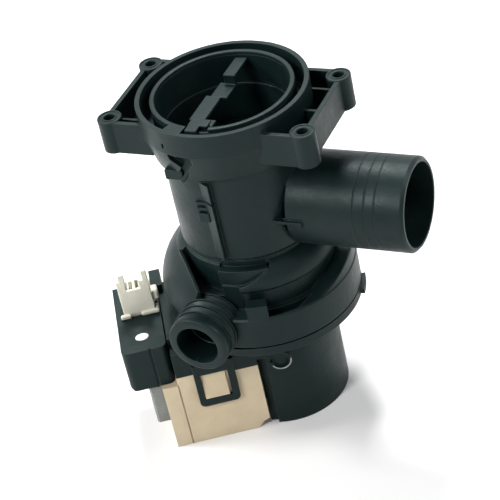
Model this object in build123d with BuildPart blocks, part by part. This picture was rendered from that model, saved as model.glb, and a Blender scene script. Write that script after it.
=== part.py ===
from build123d import *
from math import cos, radians, sin
import os

os.makedirs("parts", exist_ok=True)

# Washer drain pump: a filter chamber and volute in one moulding, with a two pole synchronous motor below it.
# Millimetres. The origin is the centre of the four lug faces, on the pump axis. +Z points out of the filter
# mouth, +X along the inlet tube and -Y along the outlet spigot. The motor is turned about Z by motor_turn.

# Fits and cuts shared by all pieces
overrun = 1.0  # how far a cut runs past what it cuts
bite = 0.4  # how far one form of a moulding reaches into the next
seat_gap = 0.1  # between two fixed pieces that fit one in the other
shaft_gap = 0.05  # running fit of the shaft in its bearings
turning_gap = 0.4  # between a turning piece and a fixed one

# Filter mouth and neck
collar_r = 36.2
collar_wall = 2.0
collar_top = 4.4  # above the lug faces
collar_straight = 10.4  # length of the collar before it tapers to the neck
collar_taper = 13.0
collar_foot_step = 2.6  # how far the end of the taper stands out from the neck
ring_top = 2.4
chamber_r = 28.2
chamber_wall = 2.0
ring_groove_depth = 13.4
neck_length = 62.5  # from the lug faces down
neck_foot_round = 1.6
undercut_depth = 1.2
undercut_height = 1.6

# Fixing lugs and their brackets
lug_spacing_x = 86.0
lug_spacing_y = 41.0
lug_r = 5.2
lug_height = 14.5
lug_hole_r = 2.4
lug_hole_depth = 12.0
bracket_wall = 2.0
bracket_side_offset = 1.3  # side walls stand this far outside the lug centres
bracket_floor = 2.0
bracket_rib_drop = 3.0
bracket_rib_wall = 1.2
bracket_rib_shares = ((-0.8,), (-0.06, 0.7))  # places on the left and on the right, of half the lug spacing
bracket_start_x = 24.0
bracket_corner = 4.0

# Inlet tube
inlet_r = 20.0
inlet_bore_r = 17.7
inlet_reach = 78.2
inlet_rise = 15.5  # axis above the end of the neck
inlet_lip = 1.2
inlet_groove_insets = (21.5, 16.7, 12.3)  # from the end of the tube
inlet_groove_width = 0.5
inlet_groove_depth = 0.35
inlet_rib_start = 18.0
inlet_rib_length = 16.4
inlet_rib_wall = 1.4
inlet_rib_proud = 1.2
inlet_rib_hook = 2.6

# Volute casing
volute_height = 37.4  # from the end of the neck to the joint with the motor
flange_r = 41.9
flange_band = 15.4
band_wall = 1.5
band_round = 0.7
joint_gap = 0.8  # dark line between the housing and the carrier
shoulder_r = 35.4
shoulder_foot_r = 34.0
shoulder_fall = 12.0
shoulder_hang = 1.6
shoulder_round_shares = (0.73, 0.34)  # middle of the rounded shoulder, out and down
dome_r = 43.5
dome_side_fall = 23.4  # from the end of the neck to the widest place of the dome
dome_crown_r = 31.5
dome_crown_fall = 3.5
dome_mid_shares = (0.32, 0.43)  # middle of the dome's round, in from its corner
volute_foot = 4.9  # above the joint
ramp_start_angle = -66.0
ramp_inset = 0.4
ramp_fall = 27.7  # lowest floor of the ramp, below the end of the neck
ramp_round = 0.8
volute_angles = (-66.0, -45.0, -20.0, 5.0, 32.0, 60.0, 90.0, 120.0, 150.0, 180.0, 216.0, 253.0)
volute_rise_shares = (0.0, 0.07, 0.32, 0.5, 0.67, 0.82, 0.93, 0.98, 1.0, 1.0, 1.0, 1.0)
volute_round_shares = (0.0, 0.0, 0.0, 0.0, 0.12, 0.4, 0.7, 0.9, 1.0, 1.0, 1.0, 1.0)
terrace_r = 33.0
terrace_fall = 3.0
terrace_start_angle = -94.0
terrace_sweep = 38.0
trough_inner_r = 36.2
trough_depth = 7.0
trough_end_angle = 12.0
trench_depth = 15.5
trench_right = -1.5
valley_depth = 6.0  # behind the front of the neck
valley_right = 18.2
valley_rise = 3.6  # end of the valley, below the end of the neck
valley_mid = (13.2, -69.7)  # x and z on its curved end
ridge_wall = 1.2
ridge_proud = 0.8
ridge_angle = -139.0
ridge_r = 32.5
ridge_length = 21.8
ridge_fall_shares = (0.0, 0.16, 0.4, 1.0)  # of the ridge's fall, at even steps along it
ridge_fall = 8.6
tongue_start_angle = -75.0
tongue_sweep = 12.5
tongue_rise = 6.3  # above the band
tongue_inset = 0.25

# Spaces inside the housing
chamber_side_end = 6.5  # the straight bore ends this far above the end of the neck
eye_r = 12.5
eye_top_fall = 11.5
funnel_mid_shares = (0.75, 0.4)
cavity_r = 34.0
cavity_height = 19.9
cavity_x = -3.0
cavity_y = 1.0

# Outlet spigot
outlet_x = -8.1
outlet_rise = 9.9  # axis above the joint
outlet_reach = 53.6
outlet_bore_r = 9.4
outlet_bore_depth = 13.0
outlet_throat_r = 9.0
outlet_lip = 1.1
outlet_nose_length = 6.4
outlet_barb_r = 13.0
outlet_root_r = 10.7
outlet_barb_pitch = 4.0
outlet_barb_slope = 3.0
outlet_barb_step = 0.5
outlet_barbs = 4
outlet_box_left = -12.4
outlet_box_right = 6.8
outlet_box_inner_y = -28.0
root_front_left = -8.0
outlet_box_outer_y = -33.6
outlet_box_drop = 10.0  # below the end of the neck

# Catch on the neck and clip window under the mouth
catch_top = -22.0
catch_bottom = -60.0
catch_start_angle = -97.0
catch_crest_angle = -86.0
catch_proud = 3.0
catch_notch = 1.4
catch_notch_z = -32.0
window_left = -11.5
window_right = -0.5
window_top = -6.0
window_bottom = -20.2
window_width = 3.2
slot_angle = -111.0
slot_z = -2.6
slot_width = 1.2
slot_height = 2.4

# Guide bar across the mouth
bar_wall = 1.5
bar_back_left = -5.8
bar_back_right = -0.4
bar_back_top = 1.5
bar_step_y = 13.4
bar_middle_left = -7.1
bar_middle_right = -1.9
bar_middle_top = -3.0
bar_jog_y = 3.7
bar_front_left = -10.0
bar_front_right = -3.2
bar_front_end = -13.5
bar_link_right = 1.5
clip_left = -4.0
clip_right = 4.5
clip_inner_y = -21.5
clip_rise = 1.0
clip_leg_left = -1.0
clip_leg_right = 4.8
clip_leg_reach = 3.4
clip_leg_drop = 6.5
clip_notch_r = 1.7

# Motor carrier
motor_turn = 30.8
carrier_flange = 3.9
motor_length = 54.3
spigot_ring_r = 30.4
spigot_ring_wall = 2.0
spigot_ring_rise = 1.5
bayonet_proud = 1.7
bayonet_sweep = 16.0
bayonet_angles = (18.0, 108.0, 198.0)
bayonet_height = 2.2
mark_r = 4.8
mark_wall = 1.1
mark_proud = 1.1
mark_angle = -62.0
mark_drop = 18.6  # below the joint
shroud_r = 28.0
shroud_wall = 2.0
shroud_floor = 2.0
shroud_edge = -8.3
rim_edge = -11.3  # set back beside the coil case
rim_wall = 1.6
can_r = 14.6
can_wall = 1.3
cap_left = -47.3
cap_half_width = 27.2
cap_bottom = 16.5  # below the joint
cap_wall = 2.0
cap_skirt = 2.1  # further down on the right of the latches
cap_skirt_wall = 0.9
cap_skirt_gap = 0.1
cap_rise_right = -36.0  # the end of the cap rises behind the terminal box
cap_rise_front = -20.0
cap_rise_back = 14.4
cap_rise = 3.9
latch_left = -39.8
latch_right = -21.8
latch_left_bar = 2.6
latch_right_bar = 3.3
latch_foot = 3.6
latch_wall = 1.7
latch_gap = 0.3
latch_length = 17.4  # below the cap
latch_root = 5.6  # up the side of the cap
latch_round = 2.4
rear_boss_wall = 1.2
rear_boss_height = 3.6

# Seal of the joint
o_ring_inset = 2.4  # middle of the ring, in from the edge of the flange
o_ring_wire_r = 1.0
o_ring_room = 0.1

# Shaft, bearings and rotor
shaft_r = 2.0
bearing_r = 4.5
bearing_length = 4.4
ring_wall = 1.7
bearing_hub_wall = 1.4
bearing_cap_r = 15.9
bearing_cap_depth = 2.4
bearing_cap_proud = 0.6
bearing_cap_web = 1.2
seal_r = 5.2
seal_height = 2.0
washer_r = 4.0
washer_height = 0.6
axial_gap = 0.2
magnet_r = 12.5
magnet_length = 22.0
magnet_floor_gap = 5.9
core_r = 6.0
shaft_foot_gap = 0.6

# Impeller and its lost motion drive
impeller_r = 22.5
impeller_vanes = 5
impeller_vane_wall = 1.8
impeller_roof_gap = 1.6
impeller_back_gap = 1.2
impeller_disc_r = 15.0
impeller_disc_wall = 1.5
hub_r = 9.4
hub_wall = 1.4
hub_height = 11.6
hub_roof = 3.0
hub_pin_depth = 1.8
driver_r = 4.6
driver_tooth_r = 7.6
tooth_sweep = 60.0
stop_sweep = 60.0
stop_rest_angle = 33.0  # from the middle of the tooth to the near side of the stop
driver_gap = 0.4
hub_cover_wall = 1.4

# Stator
stack_height = 20.0
stack_rise = 8.9  # above the base
leg_inner = 8.0
leg_outer = 18.6
leg_right = 13.0
yoke_left = -60.6
yoke_wall = 5.3
pole_gap = 0.4
bobbin_left = -47.0
bobbin_right = -16.0
bobbin_wall = 1.0
bobbin_flange = 1.2
bobbin_inner_side = 0.7
bobbin_half_height = 15.2
winding_inset = 0.5
winding_round = 4.0

# Coil case
case_right = -11.7
case_seam = -47.5
seam_groove = 0.6
case_left = -54.3
case_half_width = 27.2
case_wall = 1.2
case_end_drop = 4.1
case_step_x = 5.3
case_step_mid_x = 3.2
case_step_mid_z = 2.6
case_step_z = 4.3
nub_left = -36.9
nub_right = -26.2
nub_height = 12.8
nub_proud = 1.9
nub_top_proud = 0.4
nub_rest_gap = 0.3
can_room = 0.2
leg_room = 0.1
lead_hole_left = -52.6
lead_hole_right = -49.8
lead_hole_half_width = 9.0

# Terminal box, plug header and tabs
box_left = -67.6
box_right = -47.8
box_half_width = 24.3
box_wall = 1.8
box_side_round = 3.0
box_foot_cut = 1.5
box_top_rise = 0.3  # above the joint
box_groove_x = -55.2
box_groove = 1.0
box_groove_depth = 0.8
box_lug_left = -50.0
box_lug_right = -45.0
box_lug_front = 14.8
box_lug_back = 27.0
box_lug_rise = 3.6
box_lug_drop = 3.6
header_left = -63.6
header_right = -49.6
header_front = 1.0
header_depth = 12.0
header_wall = 1.2
header_floor = 2.0
header_height = 19.6
header_arm_rise = 3.5
header_arm_left = -62.2
header_arm_left_width = 3.1
header_arm_right = -49.6
header_arm_right_width = 2.4
header_notch_left = -59.9
header_notch_right = -53.9
header_notch_depth = 5.5
header_back_drop = 4.5
header_side = 3.4
header_lip_left = -65.2
header_lip_right = -47.9
header_lip_height = 2.0
header_lip_reach = 1.2
header_lip_gap_left = -60.5
header_lip_gap_right = -56.0
header_hook_width = 1.6
header_hook_height = 4.0
header_hook_rise = 7.0
tab_width = 6.3
tab_wall = 0.8
tab_spacing = 5.0
tab_reach = 11.0
tab_foot = 7.0
fuse_r = 1.9
fuse_length = 12.0
fuse_x = -61.0
fuse_y = -12.0
fuse_rib_height = 1.4
fuse_rib_wall = 1.0

# Levels and radii that follow from the sizes above
neck_r = chamber_r + chamber_wall
neck_bottom_z = -neck_length
joint_z = neck_bottom_z - volute_height
base_z = joint_z - motor_length
carrier_flange_bottom_z = joint_z - carrier_flange
bayonet_r = flange_r + bayonet_proud
o_ring_r = flange_r - o_ring_inset
band_top_z = joint_z + flange_band
undercut_r = neck_r - undercut_depth
collar_foot_r = neck_r + collar_foot_step
collar_taper_z = collar_top - collar_straight
collar_foot_z = collar_taper_z - collar_taper
ring_groove_z = collar_top - ring_groove_depth
inlet_z = neck_bottom_z + inlet_rise
outlet_z = joint_z + outlet_rise
cavity_top_z = joint_z + cavity_height
eye_top_z = neck_bottom_z - eye_top_fall
half_x = lug_spacing_x / 2
half_y = lug_spacing_y / 2
side_wall_x = half_x + bracket_side_offset
front_wall_y = half_y + lug_r - bracket_wall
cap_bottom_z = joint_z - cap_bottom
box_top_z = joint_z + box_top_rise
case_end_top_z = cap_bottom_z - case_end_drop
stack_bottom_z = base_z + stack_rise
stack_top_z = stack_bottom_z + stack_height
stack_mid_z = (stack_bottom_z + stack_top_z) / 2
can_floor_z = base_z + shroud_floor
ring_r = bearing_r + ring_wall
rear_bearing_top_z = can_floor_z + bearing_length
cap_seat_z = joint_z - bearing_cap_depth
bearing_cap_top_z = joint_z + bearing_cap_proud
seal_bottom_z = bearing_cap_top_z - seal_height
front_bearing_top_z = seal_bottom_z - bearing_cap_web
front_bearing_bottom_z = front_bearing_top_z - bearing_length
rear_washer_bottom_z = rear_bearing_top_z + axial_gap
core_bottom_z = rear_washer_bottom_z + washer_height
front_washer_top_z = front_bearing_bottom_z - axial_gap
core_top_z = front_washer_top_z - washer_height
magnet_bottom_z = can_floor_z + magnet_floor_gap
shaft_bottom_z = can_floor_z + shaft_foot_gap
hub_bottom_z = bearing_cap_top_z + impeller_back_gap
hub_top_z = hub_bottom_z + hub_height
hub_roof_z = hub_top_z - hub_roof
shaft_top_z = hub_roof_z + hub_pin_depth - axial_gap
vane_top_z = cavity_top_z - impeller_roof_gap
hub_room_r = hub_r - hub_wall
hub_cover_top_z = hub_bottom_z + hub_cover_wall
driver_bottom_z = hub_cover_top_z + driver_gap
driver_top_z = hub_roof_z - driver_gap
bore_gap_r = shaft_r + shaft_gap
latch_bottom_z = cap_bottom_z - latch_length
nub_bottom_z = latch_bottom_z + latch_foot + nub_rest_gap
header_top_z = box_top_z + header_height
motor_x = (cos(radians(motor_turn)), sin(radians(motor_turn)), 0)
motor_y = (-sin(radians(motor_turn)), cos(radians(motor_turn)), 0)


def motor_level(z):
    """The plane at height z whose x runs along the motor's length."""
    return Plane(origin=(0, 0, z), x_dir=motor_x, z_dir=(0, 0, 1))


def motor_side(y):
    """The upright plane across the motor at its own y, seen from outside, with z as its second direction."""
    origin = tuple(share * y for share in motor_y)
    outward = tuple(-share for share in motor_y)
    return Plane(origin=origin, x_dir=motor_x, z_dir=outward)


def radial_plane(angle):
    """The upright half plane at an angle about the pump axis: radius across, height up."""
    x_dir = (cos(radians(angle)), sin(radians(angle)), 0)
    z_dir = (sin(radians(angle)), -cos(radians(angle)), 0)
    return Plane(origin=(0, 0, 0), x_dir=x_dir, z_dir=z_dir)


def around(radius, angle):
    """The point at a radius and an angle about the pump axis."""
    return (radius * cos(radians(angle)), radius * sin(radians(angle)))


def sector(inner_r, outer_r, start_angle, sweep):
    """A ring sector in the sketch that is open."""
    middle = start_angle + sweep / 2
    end = start_angle + sweep
    outer_mid = around(outer_r, middle)
    inner_mid = around(inner_r, middle)
    sides = [
        ThreePointArc(around(outer_r, start_angle), outer_mid, around(outer_r, end), mode=Mode.PRIVATE),
        Line(around(outer_r, end), around(inner_r, end), mode=Mode.PRIVATE),
        ThreePointArc(around(inner_r, end), inner_mid, around(inner_r, start_angle), mode=Mode.PRIVATE),
        Line(around(inner_r, start_angle), around(outer_r, start_angle), mode=Mode.PRIVATE),
    ]
    make_face(sides)


def block(left, right, low, high, mode=Mode.ADD):
    """A rectangle between two pairs of sides, in the sketch that is open."""
    with Locations(((left + right) / 2, (low + high) / 2)):
        Rectangle(right - left, high - low, mode=mode)


# Pump housing: mouth, neck, lugs, inlet, volute and outlet in one moulding
with BuildPart() as pump_housing:
    with BuildSketch(Plane.XZ):
        with BuildLine():
            Polyline(
                (0, joint_z),
                (flange_r - joint_gap, joint_z),
                (flange_r - joint_gap, joint_z + joint_gap),
                (flange_r, joint_z + joint_gap),
                (flange_r, band_top_z - band_round),
                (flange_r - band_round, band_top_z),
                (shoulder_foot_r, band_top_z),
                (shoulder_foot_r, neck_bottom_z - shoulder_fall - shoulder_hang),
                (shoulder_r, neck_bottom_z - shoulder_fall),
            )
            shoulder_top_z = neck_bottom_z - undercut_height
            shoulder_mid = (
                undercut_r + (shoulder_r - undercut_r) * shoulder_round_shares[0],
                shoulder_top_z - (shoulder_fall - undercut_height) * shoulder_round_shares[1],
            )
            ThreePointArc(
                (shoulder_r, neck_bottom_z - shoulder_fall),
                shoulder_mid,
                (undercut_r, shoulder_top_z),
            )
            Polyline(
                (undercut_r, shoulder_top_z),
                (undercut_r, neck_bottom_z),
                (neck_r - neck_foot_round, neck_bottom_z),
                (neck_r, neck_bottom_z + neck_foot_round),
                (neck_r, collar_foot_z),
                (collar_foot_r, collar_foot_z),
                (collar_r, collar_taper_z),
                (collar_r, collar_top),
                (0, collar_top),
                (0, joint_z),
            )
        make_face()
    revolve(axis=Axis.Z)

    # trough between the shoulder and the band, where the volute is still small
    with BuildSketch(Plane.XY.offset(band_top_z + overrun)):
        sector(trough_inner_r, flange_r - band_wall, ramp_start_angle, trough_end_angle - ramp_start_angle)
    extrude(amount=-(trough_depth + overrun), mode=Mode.SUBTRACT)

    # growing roof of the volute, from the tongue round the back to the outlet
    for angle, rise_share, round_share in zip(volute_angles, volute_rise_shares, volute_round_shares):
        low_r = flange_r - ramp_inset
        side_r = low_r + (dome_r - low_r) * round_share
        roof_z = neck_bottom_z - ramp_fall + (ramp_fall - dome_crown_fall) * rise_share
        side_drop = ramp_round + (dome_side_fall - dome_crown_fall - ramp_round) * round_share
        crown_in = ramp_round + (dome_r - dome_crown_r - ramp_round) * round_share
        with BuildSketch(radial_plane(angle)):
            with BuildLine():
                Line((chamber_r, joint_z + volute_foot), (low_r, joint_z + volute_foot))
                Line((low_r, joint_z + volute_foot), (side_r, roof_z - side_drop))
                ThreePointArc(
                    (side_r, roof_z - side_drop),
                    (side_r - crown_in * dome_mid_shares[0], roof_z - side_drop * dome_mid_shares[1]),
                    (side_r - crown_in, roof_z),
                )
                Line((side_r - crown_in, roof_z), (chamber_r, roof_z))
                Line((chamber_r, roof_z), (chamber_r, joint_z + volute_foot))
            make_face()
    loft()

    # root of the outlet, a block whose front is square to the spigot
    with BuildSketch(Plane.XY.offset(joint_z)):
        block(outlet_box_left, outlet_box_right, outlet_box_outer_y, outlet_box_inner_y)
    extrude(amount=neck_bottom_z - outlet_box_drop - joint_z)

    # trench between the neck and the dome, left of the outlet, and the ridge along its edge
    ridge_start = around(ridge_r, ridge_angle)
    ridge_way = around(1, ridge_angle + 90)
    ridge_end = (ridge_start[0] + ridge_length * ridge_way[0], ridge_start[1] + ridge_length * ridge_way[1])
    with BuildSketch(Plane.XY.offset(neck_bottom_z)):
        with BuildLine():
            Polyline(ridge_start, ridge_end, (trench_right, ridge_end[1]), (trench_right, 0), ridge_start)
        make_face()
        Circle(neck_r, mode=Mode.SUBTRACT)
    extrude(amount=-trench_depth, mode=Mode.SUBTRACT)

    # flat front of the root, behind the shoulder's edge
    with BuildSketch(Plane.XY.offset(neck_bottom_z)):
        block(root_front_left, outlet_box_right, -shoulder_r - overrun, outlet_box_outer_y)
    extrude(amount=band_top_z - neck_bottom_z, mode=Mode.SUBTRACT)

    # valley over the root of the outlet, closed on the right by the rising shoulder
    valley_floor_z = neck_bottom_z - outlet_box_drop
    with BuildSketch(Plane.XZ.offset(neck_r - valley_depth)):
        with BuildLine():
            valley_end = (valley_right, neck_bottom_z - valley_rise)
            Line((trench_right - overrun, valley_floor_z), (outlet_box_right, valley_floor_z))
            ThreePointArc((outlet_box_right, valley_floor_z), valley_mid, valley_end)
            Polyline(
                valley_end,
                (valley_right, neck_bottom_z),
                (trench_right - overrun, neck_bottom_z),
                (trench_right - overrun, valley_floor_z),
            )
        make_face()
    extrude(amount=flange_r, mode=Mode.SUBTRACT)
    with BuildSketch(Plane.XY.offset(neck_bottom_z)):
        Circle(undercut_r)
    extrude(amount=-outlet_box_drop - bite)

    # terrace on the front of the shoulder
    with BuildSketch(Plane.XY.offset(neck_bottom_z - terrace_fall)):
        sector(chamber_r, terrace_r, terrace_start_angle, terrace_sweep)
    extrude(amount=-(outlet_box_drop - terrace_fall + bite))
    ridge_plane = Plane(
        origin=(ridge_start[0], ridge_start[1], 0),
        x_dir=(ridge_way[0], ridge_way[1], 0),
        z_dir=(ridge_way[1], -ridge_way[0], 0),
    )
    with BuildSketch(ridge_plane):
        ridge_top_z = neck_bottom_z - dome_crown_fall + ridge_proud
        ridge_step = ridge_length / (len(ridge_fall_shares) - 1)
        ridge_line = [
            (i * ridge_step, ridge_top_z - ridge_fall * share) for i, share in enumerate(ridge_fall_shares)
        ]
        ridge_root_z = neck_bottom_z - trench_depth - bite
        with BuildLine():
            Polyline(*ridge_line)
            Line(ridge_line[-1], (ridge_length, ridge_root_z))
            Line((ridge_length, ridge_root_z), (0, ridge_root_z))
            Line((0, ridge_root_z), ridge_line[0])
        make_face()
    extrude(amount=ridge_wall)

    # tongue block beside the outlet, on the band and flush with it
    with BuildSketch(Plane.XY.offset(band_top_z + tongue_rise)):
        sector(trough_inner_r, flange_r - tongue_inset, tongue_start_angle, tongue_sweep)
    extrude(amount=-(tongue_rise + trough_depth + bite))

    # outlet spigot with its tapered nose and barbs, turned about its own axis
    outlet_axis = Axis((outlet_x, 0, outlet_z), (0, -1, 0))
    nose_y = outlet_reach - outlet_nose_length
    with BuildSketch(Plane(origin=(outlet_x, 0, outlet_z), x_dir=(0, -1, 0), z_dir=(1, 0, 0))):
        with BuildLine():
            barb_points = [
                (outlet_reach, 0),
                (outlet_reach, outlet_bore_r + outlet_lip),
                (outlet_reach - outlet_lip, outlet_bore_r + 2 * outlet_lip),
                (nose_y, outlet_barb_r),
                (nose_y - outlet_barb_step, outlet_root_r),
            ]
            for i in range(1, outlet_barbs):
                barb_y = nose_y - i * outlet_barb_pitch
                barb_points.append((barb_y + outlet_barb_slope, outlet_root_r))
                barb_points.append((barb_y, outlet_barb_r))
                barb_points.append((barb_y - outlet_barb_step, outlet_root_r))
            barb_points.append((-outlet_box_inner_y, outlet_root_r))
            barb_points.append((-outlet_box_inner_y, 0))
            Polyline(*barb_points, close=True)
        make_face()
    revolve(axis=outlet_axis)

    # room for the carrier's flange below the spigot
    with BuildSketch(Plane.XY.offset(joint_z)):
        Circle(flange_r + turning_gap)
    extrude(amount=-flange_band, mode=Mode.SUBTRACT)

    # inlet tube with its rounded lip, grip grooves and side rib
    inlet_plane = Plane(origin=(0, 0, inlet_z), x_dir=(0, 1, 0), z_dir=(1, 0, 0))
    with BuildSketch(Plane(origin=(0, 0, inlet_z), x_dir=(1, 0, 0), z_dir=(0, -1, 0))):
        with BuildLine():
            groove_points = [(chamber_r - overrun, 0), (chamber_r - overrun, inlet_r)]
            for groove_inset in inlet_groove_insets:
                groove_x = inlet_reach - groove_inset
                groove_points.append((groove_x - inlet_groove_width / 2, inlet_r))
                groove_points.append((groove_x, inlet_r - inlet_groove_depth))
                groove_points.append((groove_x + inlet_groove_width / 2, inlet_r))
            groove_points.append((inlet_reach - inlet_lip, inlet_r))
            groove_points.append((inlet_reach, inlet_r - inlet_lip))
            groove_points.append((inlet_reach, 0))
            Polyline(*groove_points, close=True)
        make_face()
    revolve(axis=Axis((0, 0, inlet_z), (1, 0, 0)))
    with BuildSketch(Plane.XZ.offset(inlet_r - inlet_rib_wall)):
        inlet_rib_end = inlet_rib_start + inlet_rib_length
        block(inlet_rib_start, inlet_rib_end, inlet_z, inlet_z + inlet_rib_wall)
        block(
            inlet_rib_end - inlet_rib_wall,
            inlet_rib_end,
            inlet_z + inlet_rib_wall - inlet_rib_hook,
            inlet_z + inlet_rib_wall,
        )
    extrude(amount=inlet_rib_wall + inlet_rib_proud)

    # fixing brackets: a hollow tray on each side of the mouth, between two lugs
    for side, rib_shares in zip((-1, 1), bracket_rib_shares):
        near_x = side * bracket_start_x
        far_x = side * (side_wall_x + bracket_wall / 2)
        pocket_x = side * (side_wall_x - bracket_wall / 2)
        tray_y = front_wall_y + bracket_wall / 2
        pocket_y = front_wall_y - bracket_wall / 2
        with BuildSketch(Plane.XY.offset(-lug_height)) as tray:
            block(min(near_x, far_x), max(near_x, far_x), -tray_y, tray_y)
            fillet(tray.vertices().sort_by(Axis.X)[:: -side][:2], radius=bracket_corner)
            Circle(chamber_r, mode=Mode.SUBTRACT)
        extrude(amount=lug_height)
        with BuildSketch(Plane.XY.offset(bracket_floor - lug_height)):
            block(min(near_x, pocket_x), max(near_x, pocket_x), -pocket_y, pocket_y)
            Circle(collar_r, mode=Mode.SUBTRACT)
        extrude(amount=lug_height - bracket_floor + overrun, mode=Mode.SUBTRACT)
        rib_z = bracket_floor - lug_height - bite
        for share in rib_shares:
            with BuildSketch(Plane.XY.offset(rib_z)):
                rib_y = share * half_y
                rib_x = pocket_x + side * bite
                block(
                    min(near_x, rib_x),
                    max(near_x, rib_x),
                    rib_y - bracket_rib_wall / 2,
                    rib_y + bracket_rib_wall / 2,
                )
                Circle(collar_r - bite, mode=Mode.SUBTRACT)
            extrude(amount=-rib_z - bracket_rib_drop)
    with BuildSketch(Plane.XY.offset(-lug_height)):
        with GridLocations(lug_spacing_x, lug_spacing_y, 2, 2):
            Circle(lug_r)
    extrude(amount=lug_height)
    with GridLocations(lug_spacing_x, lug_spacing_y, 2, 2):
        Hole(lug_hole_r, lug_hole_depth)

    # catch on the front of the neck: a ramp that ends in a steep side, with a notch
    catch_left = around(neck_r - bite, catch_start_angle)
    catch_crest = around(neck_r + catch_proud, catch_crest_angle)
    catch_right = around(neck_r - bite, catch_crest_angle)
    with BuildSketch(Plane.XY.offset(catch_bottom)):
        with BuildLine():
            Polyline(catch_left, catch_right, catch_crest, close=True)
        make_face()
    extrude(amount=catch_top - catch_bottom)
    with BuildSketch(Plane.XZ.offset(neck_r)):
        block(catch_left[0], catch_crest[0] + overrun, catch_notch_z, catch_notch_z + catch_notch)
    extrude(amount=catch_proud + overrun, mode=Mode.SUBTRACT)

    # mouth: the groove round the sealing ring
    with BuildSketch(Plane.XZ):
        with BuildLine():
            Polyline(
                (0, ring_top),
                (neck_r, ring_top),
                (neck_r, ring_groove_z),
                (collar_r - collar_wall, ring_groove_z),
                (collar_r - collar_wall, collar_top + overrun),
                (0, collar_top + overrun),
                close=True,
            )
        make_face()
    revolve(axis=Axis.Z, mode=Mode.SUBTRACT)

    # clip window under the mouth and the small slot left of it
    with BuildSketch(Plane.XZ.offset(collar_foot_r - collar_foot_step + overrun)):
        with BuildLine():
            Polyline(
                (window_left, window_top),
                (window_right, window_top),
                (window_right, window_top - window_width),
                (window_left + window_width, window_bottom),
                (window_left, window_bottom),
                (window_right - window_width * 2, window_top - window_width * 2),
                (window_left, window_top - window_width),
                close=True,
            )
        make_face()
    extrude(amount=collar_r, mode=Mode.SUBTRACT)
    with BuildSketch(radial_plane(slot_angle + 90).offset(collar_r - collar_wall - overrun)):
        block(-slot_width / 2, slot_width / 2, slot_z - slot_height / 2, slot_z + slot_height / 2)
    extrude(amount=collar_wall + 2 * overrun, mode=Mode.SUBTRACT)

    # filter chamber with its funnel, suction eye and the room of the impeller
    chamber_side_z = neck_bottom_z + chamber_side_end
    with BuildSketch(Plane.XZ):
        with BuildLine():
            funnel_mid = (
                eye_r + (chamber_r - eye_r) * funnel_mid_shares[0],
                chamber_side_z + (eye_top_z - chamber_side_z) * funnel_mid_shares[1],
            )
            Polyline(
                (0, cavity_top_z - overrun),
                (eye_r, cavity_top_z - overrun),
                (eye_r, eye_top_z),
            )
            ThreePointArc((eye_r, eye_top_z), funnel_mid, (chamber_r, chamber_side_z))
            Polyline(
                (chamber_r, chamber_side_z),
                (chamber_r, ring_top + overrun),
                (0, ring_top + overrun),
                (0, cavity_top_z - overrun),
            )
        make_face()
    revolve(axis=Axis.Z, mode=Mode.SUBTRACT)
    with BuildSketch(Plane.XY.offset(joint_z - overrun)):
        with Locations((cavity_x, cavity_y)):
            Circle(cavity_r)
    extrude(amount=cavity_height + overrun, mode=Mode.SUBTRACT)

    # bores of the inlet and the outlet
    with BuildSketch(inlet_plane):
        Circle(inlet_bore_r)
    extrude(amount=inlet_reach + overrun, mode=Mode.SUBTRACT)
    with BuildSketch(Plane.XZ.offset(outlet_reach + overrun)):
        with Locations((outlet_x, outlet_z)):
            Circle(outlet_bore_r)
    extrude(amount=-(outlet_bore_depth + overrun), mode=Mode.SUBTRACT)
    with BuildSketch(Plane.XZ.offset(outlet_reach)):
        with Locations((outlet_x, outlet_z)):
            Circle(outlet_throat_r)
    extrude(amount=-(outlet_reach - cavity_r / 2), mode=Mode.SUBTRACT)
pump_housing.part.label = "pump_housing"
export_step(pump_housing.part, "parts/pump_housing.step")
print("housing", pump_housing.part.volume, len(pump_housing.part.solids()))

# Guide bar across the mouth, clipped over the front of the sealing ring
with BuildPart() as filter_guide_bar:
    bar_r = chamber_r - seat_gap
    with BuildSketch(Plane.XY.offset(bar_back_top)):
        block(bar_back_left, bar_back_right, bar_step_y, chamber_r)
        Circle(bar_r, mode=Mode.INTERSECT)
    extrude(amount=-bar_wall)
    with BuildSketch(Plane.XY.offset(bar_back_top)):
        block(bar_back_left, bar_back_right, bar_step_y, bar_step_y + bar_wall)
    extrude(amount=bar_middle_top - bar_wall - bar_back_top)
    with BuildSketch(Plane.XY.offset(bar_middle_top)):
        block(bar_middle_left, bar_middle_right, bar_jog_y - bite, bar_step_y + bar_wall)
        block(bar_front_left, bar_front_right, bar_front_end, bar_jog_y)
        block(clip_left, bar_link_right, -chamber_r, bar_front_end + overrun)
        block(clip_left, clip_right, -chamber_r, clip_inner_y)
        Circle(bar_r, mode=Mode.INTERSECT)
    extrude(amount=-bar_wall)
    with BuildSketch(Plane.XY.offset(ring_top + clip_rise)):
        block(clip_left, clip_right, -chamber_r, clip_inner_y)
        Circle(bar_r, mode=Mode.INTERSECT)
    extrude(amount=bar_middle_top - bar_wall - ring_top - clip_rise)
    with BuildSketch(Plane.XY.offset(ring_top + clip_rise)):
        block(clip_leg_left, clip_right, -neck_r - clip_leg_reach, clip_inner_y)
        Circle(neck_r + clip_leg_reach, mode=Mode.INTERSECT)
        with Locations((clip_leg_left, -(chamber_r + neck_r) / 2)):
            Circle(clip_notch_r, mode=Mode.SUBTRACT)
    extrude(amount=-clip_rise)
    with BuildSketch(Plane.XY.offset(ring_top + clip_rise)):
        block(clip_leg_left, clip_leg_right, -neck_r - clip_leg_reach, -chamber_r)
        Circle(neck_r + clip_leg_reach, mode=Mode.INTERSECT)
        Circle(neck_r + seat_gap, mode=Mode.SUBTRACT)
    extrude(amount=-clip_leg_drop)
filter_guide_bar.part.label = "filter_guide_bar"
export_step(filter_guide_bar.part, "parts/filter_guide_bar.step")
print("bar", len(filter_guide_bar.part.solids()))

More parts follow.
